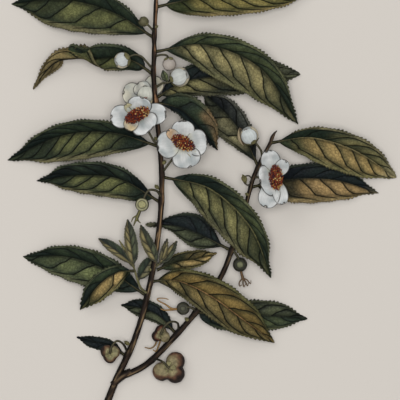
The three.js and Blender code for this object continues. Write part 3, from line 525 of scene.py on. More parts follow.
# Each leaf: the stem that it grows on, the tones of its left and right half, its midrib as
# places, and for each half its width and how many degrees it folds up.
leaves = {
    "leaf_left_1": {
        "on": "main_stem", "tones": ["olive", "deep"],
        "midrib": [[-29, 104.5, 17], [-57, 122, 14], [-89.5, 130.5, 8], [-123, 128, 1]],
        "half": [19.9, 11], "fold": [12, 35], "belly": [0.53, 0.55], "pinch": 0.6,
        "litSpan": (0.0, 0.2, 0.52, 0.75), "veinGap": 15,
    },
    "leaf_left_2": {
        "on": "main_stem", "tones": ["olive", "deep"],
        "midrib": [
            [-30, 81, 17], [-43, 90, 13.5], [-56, 92.5, 12], [-69, 91.5, 12.5], [-80.5, 92, 14],
            [-92, 90.5, 13], [-101, 83, 8], [-109, 72.5, 1],
        ],
        "half": [9, 9.4], "fold": [30, 30], "belly": [0.29, 0.36], "taper": 1.3, "pinch": 0.3,
        "roll": 165, "rollSpan": (0.5, 0.8), "lead": 0.18, "cupped": [0.54, 0.1, 14], "under": "turned",
        "tipTone": ("#857858", 0.8), "veinGap": 17,
    },
    "leaf_left_3": {
        "on": "main_stem", "tones": ["olive", "deep"],
        "midrib": [[-26, 34.5, 16], [-58.5, 44, 12], [-91.5, 41.5, 7], [-125.5, 26, 1]],
        "half": [18, 8.1], "fold": [12, 40], "belly": [0.5, 0.5], "litSpan": (0.12, 0.34, 0.58, 0.74),
        "tipDark": 0.88, "veinGap": 12,
    },
    "leaf_left_4": {
        "on": "main_stem", "tones": ["olive", "shaded"],
        "midrib": [[-25, -2, 15], [-52, 13.5, 9], [-79.5, 16, 6], [-106.5, 12.5, 1]], "half": [13.6, 9],
        "fold": [12, 38], "belly": [0.39, 0.5], "pinch": 0.6, "litSpan": (0.08, 0.3, 0.6, 0.78),
        "tipDark": 0.88,
    },
    "leaf_left_5": {
        "on": "main_stem", "tones": ["moss", "deep"],
        "midrib": [[-34.5, -62.5, 9.5], [-60, -46, 6.5], [-87, -37, 5], [-115.5, -37, 1]],
        "half": [15.5, 9], "fold": [8, 30], "belly": [0.48, 0.4], "pinch": 0.3,
        "litSpan": (0.1, 0.3, 0.64, 0.82), "veinGap": 15,
    },
    "leaf_left_6": {
        "on": "left_shoot", "tones": ["ochre", "deep"],
        "midrib": [[-42.5, -46, 13.8], [-54, -47, 16], [-66.5, -56, 13], [-78, -71.5, 6]],
        "half": [9.8, 6.6], "fold": [15, 25], "belly": [0.52, 0.58], "litSpan": (0.05, 0.25, 0.6, 0.85),
        "tipDark": 0.85,
    },
    "leaf_left_7": {
        "on": "main_stem", "tones": ["night", "night"],
        "midrib": [[-48.5, -101.5, 5], [-58.5, -95, 1.6], [-69.5, -92.5, 1], [-80.5, -89.5, 1]],
        "half": [4.7, 3.9], "fold": [4, 6], "tooth": (2.3, 0.45),
    },
    "leaf_left_8": {
        "on": "side_branch", "tones": ["dim", "night"],
        "midrib": [[-15.5, -87, 7.5], [-27, -75.5, 4], [-39, -70.5, 3], [-51.5, -68.5, 2]],
        "half": [6, 6.5], "fold": [4, 8], "tooth": (2.3, 0.6),
    },
    "leaf_left_9": {
        "on": "left_shoot", "tones": ["deep", "grey"],
        "midrib": [[-40, -52, 12.5], [-37, -47, 9.5], [-33.5, -41.5, 8.5], [-30, -36, 8]],
        "half": [4.5, 4.5], "fold": [8, 8], "pinch": 0.5, "tooth": (1.6, 0.3), "young": True,
        "bayHigh": 0.3, "rib": "#15180f", "under": "under",
    },
    "leaf_right_1": {
        "on": "main_stem", "tones": ["green", "gold"],
        "midrib": [[-28.5, 125, 17], [3, 132, 15], [40.5, 134, 10], [76.5, 135, 3]],
        "half": [10.5, 13.8], "fold": [30, 12], "belly": [0.48, 0.4], "litSpan": (0.1, 0.32, 0.72, 0.9),
    },
    "leaf_right_2": {
        "on": "main_stem", "tones": ["green", "tan"],
        "midrib": [[-29.5, 96, 17.3], [4.5, 100.5, 18], [40, 85, 14], [64, 49.5, 5]],
        "half": [9.4, 21.2], "fold": [35, 12], "belly": [0.52, 0.5], "taper": 1.8, "pinch": 0.35,
        "litSpan": (0.03, 0.2, 0.66, 0.88), "veinGap": 16, "veinForward": 0.245,
    },
    "leaf_right_3": {
        "on": "main_stem", "tones": ["night", "stippled"],
        "midrib": [[-29.5, 65.5, 15.8], [-7, 78, 7.5], [30, 81, 6], [65.5, 82, 1]],
        "half": [12.5, 12.5], "fold": [8, 8], "belly": [0.62, 0.5], "taper": 1.25,
        "litSpan": (0.0, 0.12, 0.38, 0.5), "tipDark": 0.85, "tipTone": ("#5d6049", 0.7),
    },
    "leaf_right_4": {
        "on": "main_stem", "tones": ["deep", "night"],
        "midrib": [[-29.5, 63.5, 16.8], [-13, 59, 14.5], [0, 47, 12], [11.5, 32.5, 8]],
        "half": [12.6, 4.5], "fold": [10, 40], "belly": [0.48, 0.5], "browned": True,
    },
    "leaf_right_5": {
        "on": "side_branch", "tones": ["grey", "dusky"],
        "midrib": [[38, 21, 13], [29, 40.5, 8], [17.5, 55.5, 5.5], [3, 69, 4]], "half": [13.8, 9.6],
        "fold": [8, 20], "belly": [0.6, 0.6], "litSpan": (0.08, 0.24, 0.58, 0.74), "tipDark": 0.9,
    },
    "leaf_right_6": {
        "on": "side_branch", "tones": ["patched", "ochre"],
        "midrib": [[45.5, 37, 12.6], [72, 40.5, 13], [101, 32, 8], [128, 14.5, 1]], "half": [9.4, 17],
        "fold": [35, 12], "belly": [0.6, 0.52], "pinch": 0.35, "litSpan": (0.06, 0.32, 0.8, 0.95),
        "late": (0.3, 0.0), "veinGap": 14, "bayDark": 0.62, "tipDark": 0.1,
        "tipTone": ("#8f8766", 0.84), "rib": "#8a7f58",
    },
    "leaf_right_7": {
        "on": "side_branch", "tones": ["night", "sand"],
        "midrib": [[32, 8, 13], [58.5, 13.5, 8], [88, 13, 4.5], [116.5, 4.5, 1]], "half": [10, 16.3],
        "fold": [15, 6], "belly": [0.48, 0.42], "litSpan": (0.28, 0.48, 0.76, 0.9), "tipDark": 0.4,
        "tipTone": ("#676350", 0.86), "veinGap": 15,
    },
    "leaf_right_8": {
        "on": "main_stem", "tones": ["green", "tawny"],
        "midrib": [[-24.5, 15, 15.5], [7, 7, 18.5], [33, -18, 18], [46, -50.5, 10]], "half": [8.8, 19],
        "fold": [38, 12], "belly": [0.45, 0.49], "pinch": 0.65, "tipWide": 2.4,
        "litSpan": (0.0, 0.2, 0.62, 0.82), "late": (0.3, 0.0), "rib": "#6e6a45", "veinGap": 14,
        "veinForward": 0.24,
    },
    "leaf_right_9": {
        "on": "side_branch", "tones": ["dim", "night"],
        "midrib": [[19.5, -32.5, 12], [2, -23.5, 8], [-16, -17, 6.5], [-35.5, -16, 6]],
        "half": [9.4, 11.8], "fold": [6, 6], "belly": [0.36, 0.43], "taper": 4, "pinch": 0.0,
        "tipWide": 2.6, "tooth": (2.3, 0.6), "tipTone": ("#77755a", 0.83),
    },
    "leaf_right_10": {
        "on": "main_stem", "tones": ["amber", "brass"],
        "midrib": [
            [-33, -53, 11.5], [-14.5, -52.5, 15], [6.5, -62, 16], [26.5, -76.5, 12], [48.5, -93, 4],
        ],
        "half": [13, 12.1], "fold": [25, 15], "belly": [0.56, 0.56], "tipDark": 0.1, "rib": "#8c6a45",
    },
    "leaf_right_11": {
        "on": "side_branch", "tones": ["dim", "green"],
        "midrib": [[-2.5, -73, 9.2], [21, -75.5, 5], [45.5, -75.5, 3], [70, -77.5, 1]],
        "half": [10.5, 10.6], "fold": [6, 6], "belly": [0.48, 0.42], "taper": 1, "pinch": 0.6,
        "stalk": 0.03, "tipWide": 2.6, "late": (0.0, 0.4),
    },
    "leaf_right_12": {
        "on": "main_stem", "tones": ["brass", "ochre"],
        "midrib": [[-28, -45.5, 12.5], [-15.5, -40.5, 12], [-2, -38, 10.4], [11, -34.5, 8.6]],
        "half": [6, 6], "fold": [12, 12], "tooth": (2.0, 0.6), "litSpan": (0.14, 0.4, 0.85, 0.95),
        "late": (0.25, 0.0), "tipDark": 0.1,
    },
    "leaf_top_1": {
        "on": "main_stem", "tones": ["olive", "deep"],
        "midrib": [[-27.5, 144.5, 16.8], [-52, 158.5, 13], [-76.5, 167.5, 8], [-102.5, 171.5, 1]],
        "half": [14, 10], "fold": [12, 32],
    },
    "leaf_top_2": {
        "on": "main_stem", "tones": ["green", "gold"],
        "midrib": [[-27, 157.5, 16.3], [-3, 173, 14], [21, 184.5, 9], [45.5, 191, 1]], "half": [10, 13],
        "fold": [30, 12],
    },
}

for seed, (name, leaf) in enumerate(leaves.items()):
    young = "young" in leaf
    forms = leafForms({**youngLeaf, **leaf} if young else leaf, seed + 1)
    makePiece(name + "_blade", forms, [downyLeaf if young else leatheryLeaf],
              [name])
print("leaves", len(leaves))

# Each young shoot: its twig, its half-open leaves, and its furled ones. The last number of a
# place is the radius there.
shoots = {
    "left_shoot": {
        "twig": [[-34.5, -60.5, 11.7, 1.3], [-39, -56, 13, 1.2], [-43, -43.5, 14, 1]],
        "leaves": [
            {"tones": ["young", "dim"], "half": [4, 4.5],
             "midrib": [[-43, -43, 14], [-44, -34, 17], [-45.5, -23.5, 17], [-47, -12.5, 15]]},
            {"tones": ["young", "deep"], "half": [3.2, 4],
             "midrib": [[-43, -42.5, 14], [-50.5, -36, 14], [-58.5, -30, 12], [-66, -25, 9]]},
        ],
        "furled": [
            [[-43, -43.5, 14, 1], [-46, -37, 16, 1.2], [-49.5, -31, 16, 1.2], [-52.5, -26, 15, 0.4]],
            [[-43, -43.5, 14, 0.9], [-45, -41.5, 14.5, 1], [-48.5, -38.5, 14.5, 0.3]],
        ],
    },
    "right_shoot": {
        "twig": [[-28.5, -43.5, 13.3, 1], [-27.5, -42.5, 15.5, 1], [-26.5, -41.5, 16.5, 1]],
        "leaves": [
            {"tones": ["young", "dim"], "half": [4, 4],
             "midrib": [[-27.5, -42, 16.2], [-31, -34, 18.5], [-35, -25.5, 18.5], [-38.5, -16, 16]]},
            {"tones": ["young", "dim"], "half": [2.8, 2.8],
             "midrib": [[-26.5, -42, 16.2], [-22, -37.5, 16], [-18.5, -32.5, 15], [-15, -26.5, 13.5]]},
            {"tones": ["youngDark", "young"], "half": [2.3, 2.3],
             "midrib": [[-26.5, -41.5, 16.4], [-24.4, -36.5, 18.2], [-22.8, -31, 18], [-21.2, -25, 16.4]]},
        ],
    },
    "top_shoot": {
        "twig": [[-26, 174.8, 15.5, 1], [-25, 179, 15.2, 0.95], [-24, 183, 15, 0.9]],
        "leaves": [
            {"tones": ["young", "youngDark"], "half": [5, 4.5],
             "midrib": [[-24.5, 181, 15], [-30, 191, 16], [-37, 199, 14], [-45, 205, 10]]},
            {"tones": ["youngDark", "young"], "half": [4, 4.5],
             "midrib": [[-24.5, 182, 15], [-19, 193, 17], [-14, 202, 16], [-10, 211, 12]]},
        ],
        "furled": [
            [[-24, 182, 15, 1], [-25, 190, 16.5, 1.3], [-26, 198, 17, 1.1], [-26.5, 206, 16, 0.3]],
        ],
    },
}

for seed, (name, shoot) in enumerate(shoots.items()):
    forms = []
    for k, leaf in enumerate(shoot["leaves"]):
        forms += leafForms({**youngLeaf, **leaf}, 40 + 3 * seed + k)
    for points in [shoot["twig"]] + shoot.get("furled", []):
        slim, wound = (0.66, 0.2) if points is shoot["twig"] else (0.82, 0.9)
        places, faces, _ = limbForm(points, [point[3] * slim for point in points], 26, 12)
        rows, around = places.shape[:2]
        twist = roundAngles(around) + np.linspace(0, 4.5, rows)[:, None]
        groove = np.cos(twist) > 0.86  # the rolled leaf's edge winds up the shoot
        tone = blended(shade("#37341f"), shade("#6b6640"), 0.5 + 0.5 * mottle(places, 2.0, seed))
        tone = blended(tone, shade("#1c1c12"), wound * groove)
        forms.append((places, faces, {"pigment": tone, "veins": plainVeins}))
    makePiece(name + "_growth", forms, [downyLeaf], [name])
print("shoots", len(shoots))

# Petal: white, thin, soft and matt. The sheen softens its shaded side.
whitePetal = grownMaterial("softWhitePetal", {
    "ior": 1.4, "gloss": 0.25, "down": 0.1, "roughness": (0.6, 0.75),
    "cloud": 4.0, "clouding": 0.07, "grain": 1.2, "cell": 2.5, "netting": 0.03, "netDeep": -0.3,
    "strand": 0.8, "stranding": 0.05,
    "veinWide": 0.4, "veinDark": 0.08, "veinDeep": 0.5, "veinColour": "#8f958c", "relief": 0.35,
})
# Green parts round flowers and fruits: firm, with a faint gloss.
greenSkin = grownMaterial("firmGreenSkin", {
    "ior": 1.45, "gloss": 0.3, "roughness": (0.5, 0.65),
    "cloud": 1.8, "clouding": 0.2, "grain": 0.6, "cell": 1.0, "netting": 0.15, "netDeep": -0.3,
    "veinColour": "#1f2013", "relief": 0.5,
})

# Each flower: the length, width and turn of its stamens; its petals, as the turn, reach and width
# of each; which of those are cream, and the tips of more that show between them. Golden is the
# way to the side where its pollen is golden.
flowers = {
    "flower_1": {
        "on": "main_stem", "centre": [-40.5, 55, 21],
        "stalk": [[-26, 34.5, 16], [-30, 38.5, 19.5], [-34, 45.5, 20], [-39, 53, 18]],
        "stamens": [19, 9.5, 27],
        "petals": [[186, 17.5, 13], [76, 12, 13.5], [3, 19, 12], [-50, 13.5, 16], [-125, 12, 8]],
        "golden": [1, 0.2], "white": "#d4d5d3", "cream": {4: "#c9b48c"}, "tips": [[140, 10.5, 6]],
    },
    "flower_2": {
        "on": "main_stem", "centre": [-11, 37, 19.5],
        "stalk": [[-24.5, 17.5, 15.5], [-22, 21, 18.5], [-17, 27.5, 18.5], [-11.5, 35, 16.5]],
        "stamens": [17.5, 10, -28],
        "petals": [[90, 14.5, 13], [0, 16, 15], [-77, 17, 16], [187, 17, 15.5], [142, 13, 6]],
        "golden": [0.3, -0.2], "white": "#cbccca", "cream": {4: "#c4a482"}, "tips": [[-46, 13.5, 6]],
    },
    "flower_3": {
        "on": "side_branch", "centre": [49, 14.5, 19],
        "stalk": [[35, 15, 13], [39, 14.5, 14.5], [43.5, 14.5, 15], [48, 14.5, 16]],
        "stamens": [18, 9.5, 94],
        "petals": [[107, 18.5, 11], [60, 13, 8], [200, 11, 18], [-110, 20.5, 12], [-75, 18, 8.5]],
        "golden": [-0.6, -0.9], "white": "#cbccca",
    },
    "flower_4": {
        "on": "main_stem", "centre": [-35.5, 67.5, 8],
        "stalk": [[-29.5, 63, 16.5], [-30, 64, 11], [-33, 66, 5]], "stamens": [9, 7, 40],
        "petals": [[170, 15, 12.5], [115, 10, 10], [52, 15.5, 11], [-15, 7, 9], [-100, 8, 9]],
        "golden": [0, 0], "white": "#cbccca",
        "cream": {0: "#cdc8b6", 1: "#cecbbe", 2: "#c4bca4", 3: "#c8bb9a"},
    },
}

petalBlade = {
    **leafBlade, "fold": [14, 14], "stalk": 0.04, "stalkWide": 2.4, "tipWide": 0.7, "belly": [0.56, 0.56],
    "taper": 1.0, "pinch": 0.0, "thick": 0.3, "lift": 4.5, "notch": 0.06, "grid": (32, 27),
    "broader": 1.18,  # its width times this, for what the ruffles take up
    "gap": 0.25,  # from one petal up to the next
}
scaleGrid = (18, 17)


# The shares of a blade's length and half width, closer together at its tip and its margins.
def closeGrid(rows, columns, closer):
    return np.meshgrid(1 - (1 - np.linspace(0, 1, rows)) ** closer,
                       np.sin(np.linspace(-1, 1, columns) * np.pi / 2), indexing="ij")


# A scale, sepal or petal that wraps a ball: turn is where it sits round the ball, span the
# angles from the ball's base, wide the most degrees that it reaches to each side.
def wrapForm(centre, way, radius, turn, wide, span, tones, seed, thick=0.25, long=1.0, belly=0.5):
    way, side, other = axesOf(way)
    s, w = closeGrid(*scaleGrid, 1.4)
    reach = np.maximum(outline(s, belly, 0.8), 0.04)
    polar = math.radians(span[0]) + math.radians(span[1] - span[0]) * s * (1 - 0.1 * np.abs(w) ** 2)
    roundWay = math.radians(turn) + w * reach * math.radians(wide)
    crinkle = 1 + 0.012 * np.sin(5 * w + seed) + 0.03 * smooth(s, 0.85, 1)

    def at(size):
        size = size * crinkle
        return (np.asarray(centre, float) - way * (np.cos(polar) * size * long)[..., None]
                + turned(roundWay, side, other) * (np.sin(polar) * size)[..., None])

    upper, lower = at(radius + thick / 2), at(radius - thick / 2)
    body, edgeTone = (shade(tone) for tone in tones)
    edge = np.maximum(smooth(np.abs(w), 0.86, 0.96), smooth(s, 0.93, 0.98))
    pigment = blended(body * (1 + 0.15 * mottle(upper, 2.0, seed))[..., None], edgeTone, 0.85 * edge)
    return sheetForm(upper, lower, pigment=pigment, veins=stacked(w * 3, w * 0.9, 1.2))


def upTurn(way):  # the turn that puts a petal on the upper side
    _, side, other = axesOf(way)
    return math.degrees(math.atan2(np.dot(up, other), np.dot(up, side)))


def petalForm(centre, shape, seed, white):
    turn, reach, wide = shape
    way = np.array([math.cos(math.radians(turn)), math.sin(math.radians(turn)), 0])
    midrib = [np.asarray(centre) + way * reach * share + up * petalBlade["lift"] * rise
              for share, rise in [[0.06, 0], [0.4, 0.15], [0.72, 0.6], [1, 1]]]
    blade = {**petalBlade, "midrib": midrib, "half": [wide / 2, wide / 2]}
    margin, w = closeGrid(*blade["grid"], 1.7)
    notch = blade["notch"] * hump(w, 0.25 * math.sin(seed), 0.22) * smooth(margin, 0.6, 1)
    notch = notch + 0.03 * np.sin(6.5 * w + 1.7 * seed) * smooth(margin, 0.5, 1)
    s = np.clip(margin * (1 - notch), 0, 1)
    fold = mottle(bladePlaces(blade, s, w), 4.5, seed + 2)
    ruffle = (0.4 * np.sin(3.1 * w + seed) + 0.9 * fold) * smooth(s, 0.25, 0.8)
    ruffle = ruffle + 0.25 * np.sin(9 * s + seed) * np.abs(w)
    upper, lower = bladeSides(blade, s, w, ruffle)
    shadeBlotch = mottle(upper, 5.0, seed)
    # painted shade: greyer towards the petal's foot, and grey blue in the hollows of its folds and in soft
    # blotches
    tone = blended(shade("#c9cac6"), shade(white), smooth(s, 0.25, 0.7))
    pigment = blended(tone, shade("#8b9495"), np.clip(0.2 + 0.5 * shadeBlotch - 0.55 * fold, 0, 0.75))
    pigment = blended(pigment, shade("#a9a683"), 0.5 * (1 - smooth(s, 0.1, 0.4)))
    edge = np.maximum(smooth(np.abs(w), 0.91, 0.95), smooth(margin, 0.94, 0.965))
    pigment = blended(pigment, shade("#302a24"), 0.92 * edge)
    veins = stacked(w * 4.5 * (1 - 0.3 * s), w * 0.9, wide / 9)
    return sheetForm(upper, lower, pigment=pigment, veins=veins)


# A stalk or a style, with a painted highlight along its top and painted shade down its sides.
def stalkForm(route, widths, steps=24, sides=10, core="#4d4934", rim="#1a1810"):
    places, faces, _ = limbForm(route, widths, steps, sides)
    top = unit(places - places.mean(axis=1, keepdims=True))[..., 2]
    return places, faces, {"pigment": blended(shade(rim), shade(core), smooth(top, 0.6, 1.0))}


calyxRings = [[-2.6, 0.8], [-2.0, 2.4], [-1.0, 3.6], [-0.2, 4.0], [0.1, 3.8], [-0.6, 2.6], [0.2, 1.8],
              [1.2, 1.0]]
for seed, (name, flower) in enumerate(flowers.items()):
    centre = np.array(flower["centre"], float)
    forms = []
    for k, (turn, reach, wide) in enumerate(flower["petals"]):
        shape = [turn, reach, wide * petalBlade["broader"]]
        white = flower.get("cream", {}).get(k, flower["white"])
        forms.append(petalForm(centre + up * petalBlade["gap"] * k, shape, 3 * seed + k, white))
    for shape in flower.get("tips", []):
        forms.append(petalForm(centre - up * 0.6, shape, 3 * seed, "#c9bd8f"))
    if name == "flower_4":  # its inner petal is still folded over the stamens
        way = [-0.15, 1, 0.1]
        forms.append(wrapForm([-35, 69.2, 11.4], way, 6.3, upTurn(way), 66, (14, 150),
                              ("#c2c2b6", "#3b3730"), 17))
    makePiece(name + "_petals", forms, [whitePetal], [name])
    green = [turnedForm(centre, [0, 0, 1], calyxRings, 20, pigment=shade("#3f3b28")),
             stalkForm(flower["stalk"] + [flower["centre"]], [0.8, 0.72, 0.76, 0.9])]
    makePiece(name + "_calyx", green, [greenSkin], [name])
print("flowers", len(flowers))

# Stamens: mealy pollen on dark filaments, each a few tenths of a millimetre wide, so they are
# plain colours without gloss. Anthers are drawn a third larger than life.
stamenColours = {
    "rustPollen": "#743220", "orangePollen": "#854428", "goldPollen": "#9a7440",
    "paleGoldPollen": "#bfa068", "winePollen": "#49262b", "darkFilament": "#3a201c",
}
stamenMaterials = [newMaterial(name, Base_Color=linear(colour), Roughness=0.85, IOR=1.45,
                               Specular_IOR_Level=0.15)[0] for name, colour in stamenColours.items()]
filament = list(stamenColours).index("darkFilament")
anthers = {
    "count": 170,
    "low": 70,  # more of them stand low, round the edge
    "turn": 2.39996,  # the golden angle, from each one to the next
    "spread": 0.47,  # how far out they reach, as a share of the tuft's length and width
    "crown": (6, 2.8),  # how high the edge of the tuft stands, and its middle above that
    "size": [1.05, 0.75, 0.8],
    # how likely each colour is for an anther, away from the golden side and on it
    "plain": [0.47, 0.09, 0.01, 0.02, 0.41, 0],
    "golden": [0.36, 0.22, 0.14, 0.14, 0.14, 0],
}


def seedBall():
    made = bmesh.new()
    bmesh.ops.create_icosphere(made, subdivisions=2, radius=0.5)
    places = np.array([vertex.co[:] for vertex in made.verts])
    faces = [[vertex.index for vertex in face.verts] for face in made.faces]
    made.free()
    return places, faces


ballPlaces, ballFaces = seedBall()


def pollenForm(place, tilt, turn, size, material):
    c, s = math.cos(turn), math.sin(turn)
    roundWay = np.array([[c, -s, 0], [s, c, 0], [0, 0, 1]])
    c, s = math.cos(tilt), math.sin(tilt)
    lean = np.array([[c, 0, -s], [0, 1, 0], [s, 0, c]])
    groove = 1 - 0.22 * hump(ballPlaces[:, 1:2], 0, 0.16) * (ballPlaces[:, 2:] > 0)
    return (ballPlaces * groove * size) @ lean.T @ roundWay.T + place, ballFaces, {"material": material}


for seed, (name, flower) in enumerate(flowers.items()):
    pick = random.Random(70 + seed)
    centre = np.array(flower["centre"], float)
    long, wide, turn = flower["stamens"]
    turn = math.radians(turn)
    ahead = np.array([math.cos(turn), math.sin(turn), 0])
    beside = np.array([-math.sin(turn), math.cos(turn), 0])
    edge, crown = anthers["crown"]
    goldenX, goldenY = flower["golden"]
    forms = []
    for k in range(anthers["count"] + anthers["low"]):
        low = k >= anthers["count"]
        if low:
            out = pick.uniform(0.72, 1.02)
        else:
            out = math.sqrt((k + 0.5) / anthers["count"]) * pick.uniform(0.94, 1.0)
        angle = k * anthers["turn"] + pick.uniform(-0.1, 0.1)
        x, y = out * math.cos(angle), out * math.sin(angle)
        dome = edge + crown * math.sqrt(max(0, 1 - out * out))
        high = pick.uniform(3.6, 5.6) if low else dome + pick.uniform(-0.5, 0.4)
        place = centre + (ahead * x * long + beside * y * wide) * anthers["spread"] + up * high
        golden = np.clip(0.5 + 0.8 * (x * goldenX + y * goldenY), 0, 1)
        if low:
            golden *= 0.4
        chances = [a * (1 - golden) + b * golden for a, b in zip(anthers["plain"], anthers["golden"])]
        material = pick.choices(range(len(chances)), chances)[0]
        size = np.array(anthers["size"]) * pick.uniform(0.85, 1.15)
        forms.append(pollenForm(place, pick.uniform(-0.5, 0.5), pick.uniform(0, 6.3), size, material))
        foot = centre + ahead * x * 1.4 + beside * y * 1.4 + up * 0.8
        knee = (foot + place) / 2 + (ahead * x + beside * y) * 0.9
        forms.append(limbForm([foot, knee, place], [0.14, 0.12, 0.1], 4, 4, material=filament))
    tuft = name.replace("flower", "stamens")
    makePiece(tuft + "_tuft", forms, stamenMaterials, [tuft])
print("stamens", len(flowers))

# Each bud: how big it is, the way it points, and the tones of its petals and of their edges.
buds = {
    "bud_1": {
        "on": "main_stem", "centre": [-36.5, 115.5, 22.5], "radius": 3.2, "way": [-0.8, 0.6, 0.1],
        "stalk": [[-29, 108, 17.4], [-31.5, 111, 21], [-34.5, 114, 22]],
        "tones": ("#58543c", "#211f15"),
    },
    "bud_2": {
        "on": "main_stem", "centre": [-50.5, 90.5, 20.5], "radius": 5.2, "way": [-0.95, -0.3, 0],
        "stalk": [
            [-30, 84.5, 17.3], [-33, 87.5, 20], [-37.5, 92.5, 21], [-42, 94, 21], [-46, 92.5, 20.5],
        ],
        "tones": ("#bcbfbd", "#4a463c"),
    },
    "bud_3": {
        "on": "main_stem", "centre": [-20, 88, 15.5], "radius": 4.5, "way": [0.1, -1, -0.2],
        "stalk": [[-29.5, 93, 17.4], [-25, 94, 19.5], [-21.5, 93.5, 18.5], [-20, 91, 16.5]],
        "tones": ("#a59c93", "#4d4138"),
    },
    "bud_4": {
        "on": "main_stem", "centre": [-13, 79.5, 20], "radius": 6.3, "way": [0.9, 0.4, 0],
        "stalk": [[-30, 72, 17], [-24.5, 75.5, 20], [-20.5, 76, 20.5], [-17, 77.5, 20]],
        "tones": ("#b8bab5", "#4a463c"),
    },
    "bud_5": {
        "on": "side_branch", "centre": [32, 42, 17.5], "radius": 6, "way": [-0.45, 0.9, 0],
        "stalk": [[40.5, 25.5, 13], [39.5, 32, 16], [36.5, 36.5, 17.5], [35, 39, 17.5]],
        "tones": ("#bdc2c0", "#54483c"),
    },
}

# The outer petals of a bud are cream, and the one that faces up is the whitest.
outerPetal = ("#c4b99d", "#4a4236")
sepalTones = ("#77724e", "#26241a")
for seed, (name, bud) in enumerate(buds.items()):
    centre, way, radius, tones = np.array(bud["centre"], float), bud["way"], bud["radius"], bud["tones"]
    white = radius > 4
    # the core that shows between the petals is their tone made darker, as painted shade
    petals = [turnedForm(centre, way, ballRings(radius * 0.93, 16), 24, pigment=shade(tones[0]) * 0.8)]
    face = upTurn(way)
    for k in range(4):
        petals.append(wrapForm(centre, way, radius * (0.94 + 0.02 * k), face + 90 + 65 * k, 66,
                               (16, 165 - 5 * k), outerPetal if radius > 4.5 else tones, seed * 5 + k))
    petals.append(wrapForm(centre, way, radius * 1.03, face + 8 - 5 * seed, 62, (22, 140), tones, seed))
    makePiece(name + "_petals", petals, [whitePetal if white else greenSkin],
              [name])
    foot = centre - unit(np.array(way)) * radius * 0.9
    green = [stalkForm(bud["stalk"] + [foot], [0.75, 0.68, 0.7, 0.9])]
    wide, reach = (46, 68) if name == "bud_2" else (38, 50)
    for k in range(4):
        green.append(wrapForm(centre, way, radius * 1.06, 90 * k + 25 * seed, wide, (8, reach), sepalTones,
                              seed + k))
    if name == "bud_5":  # a dried bract still hangs beside this bud
        for k in range(3):
            green.append(wrapForm(centre, [-0.2, 1, 0.1], radius * (1.08 + 0.1 * k), 160 + 14 * k, 30,
                                  (40, 140), ("#b5a585", "#4e3b2c"), 30 + k))
    if name == "bud_4":  # a bract stands beside this bud
        bract = {
            **youngLeaf, "tones": ["dim", "moss"], "under": "moss", "tooth": (1.6, 0.0),
            "midrib": [[-21, 76.5, 20.6], [-22.2, 78.5, 22], [-23.2, 81, 22.6], [-24, 84, 22]],
            "half": [2.4, 2.4], "fold": [12, 12],
        }
        green += leafForms(bract, 61)
    makePiece(name + "_calyx", green, [greenSkin], [name])
print("buds", len(buds))

# Each young fruit sits in its cup, seen from above as a paler ring and a disc, and its skin tone
# is painted shade round its sides and below. A style is a route and the radius along it.
youngFruits = {
    "young_fruit_1": {
        "on": "main_stem", "centre": [-37.5, -3, 19], "radius": 4.5,
        "stalk": [[-25, 1, 15], [-27.5, 5.5, 18.5], [-32.5, 6.5, 21], [-35.5, 3, 21]],
        "styles": [
            [[[-38.5, -6, 19], [-40, -9.5, 19.3], [-41.5, -13.5, 18.8]], [0.9, 1.2, 1.0]],
            [[[-40.4, -10, 19.5], [-43.2, -11.5, 19.8], [-44.4, -14.2, 19.6]], [0.6, 0.5, 0.25]],
            [[[-40.6, -11.5, 19.3], [-39.9, -13.6, 19.2], [-38.4, -15, 19]], [0.6, 0.5, 0.25]],
            [[[-41, -12, 19], [-42.2, -14.6, 18.8], [-43, -16.8, 18.6]], [0.7, 0.6, 0.3]],
        ],
        "disc": "#98946a", "line": "#26251a", "cup": "#a3a07e", "skin": "#3a3826", "bare": 0.6,
        "styleTones": ("#6f6a3e", "#211f17"),
    },
    "young_fruit_2": {
        "on": "side_branch", "centre": [26, -42, 9], "radius": 4.7,
        "stalk": [[20, -32.5, 12], [22, -33.5, 12.8], [24.5, -37, 11.5]],
        "styles": [
            [[[26.4, -45.5, 9.4], [27.2, -48.5, 9.3], [28, -51.5, 9]], [0.75, 0.9, 1.0]],
            [[[27.6, -51, 9], [25.6, -53.5, 9], [25.8, -56, 8.6], [27.2, -55.2, 8.4]],
             [0.5, 0.45, 0.35, 0.25]],
            [[[28, -51.5, 9], [28, -54.5, 9], [28.6, -56.4, 8.6], [29.6, -54.6, 8.4]],
             [0.5, 0.45, 0.35, 0.25]],
            [[[28.3, -51.3, 9], [29.8, -53.6, 9], [30.8, -55.8, 8.6], [31.6, -53.8, 8.4]],
             [0.5, 0.45, 0.35, 0.25]],
            [[[28.4, -51, 9], [30.6, -52, 9], [32.8, -54.4, 8.5], [33.2, -52.4, 8.4]],
             [0.5, 0.4, 0.3, 0.2]],
        ],
        "disc": "#66684c", "line": "#0f0f0b", "cup": "#2f2f23", "skin": "#11110c", "bare": 0.5,
        "styleTones": ("#6e5436", "#2b2118"),
    },
    "young_fruit_3": {
        "on": "side_branch", "centre": [-11, -70.5, 9.5], "radius": 4.3,
        "stalk": [[-2.5, -73, 9.2], [-4.5, -70.5, 12], [-8, -69.5, 12]],
        "styles": [
            [[[-14.5, -71, 9.8], [-18.5, -70.5, 10.8], [-22.5, -67.8, 11.8], [-27, -65.4, 12.6],
              [-27.4, -64, 12.6], [-23.5, -63.8, 12], [-20.5, -64.6, 11.4]],
             [0.75, 0.65, 0.5, 0.4, 0.35, 0.3]],
            [[[-14.5, -71, 9.6], [-18.5, -71.4, 10.2], [-23, -71.6, 10], [-25.6, -70.8, 9.6]],
             [0.7, 0.6, 0.45, 0.3]],
        ],
        "disc": "#50503f", "line": "#1a1a14", "cup": "#424135", "skin": "#1c1c16", "bare": 0.42,
        "styleTones": ("#a5874c", "#5c2a20"),
    },
}

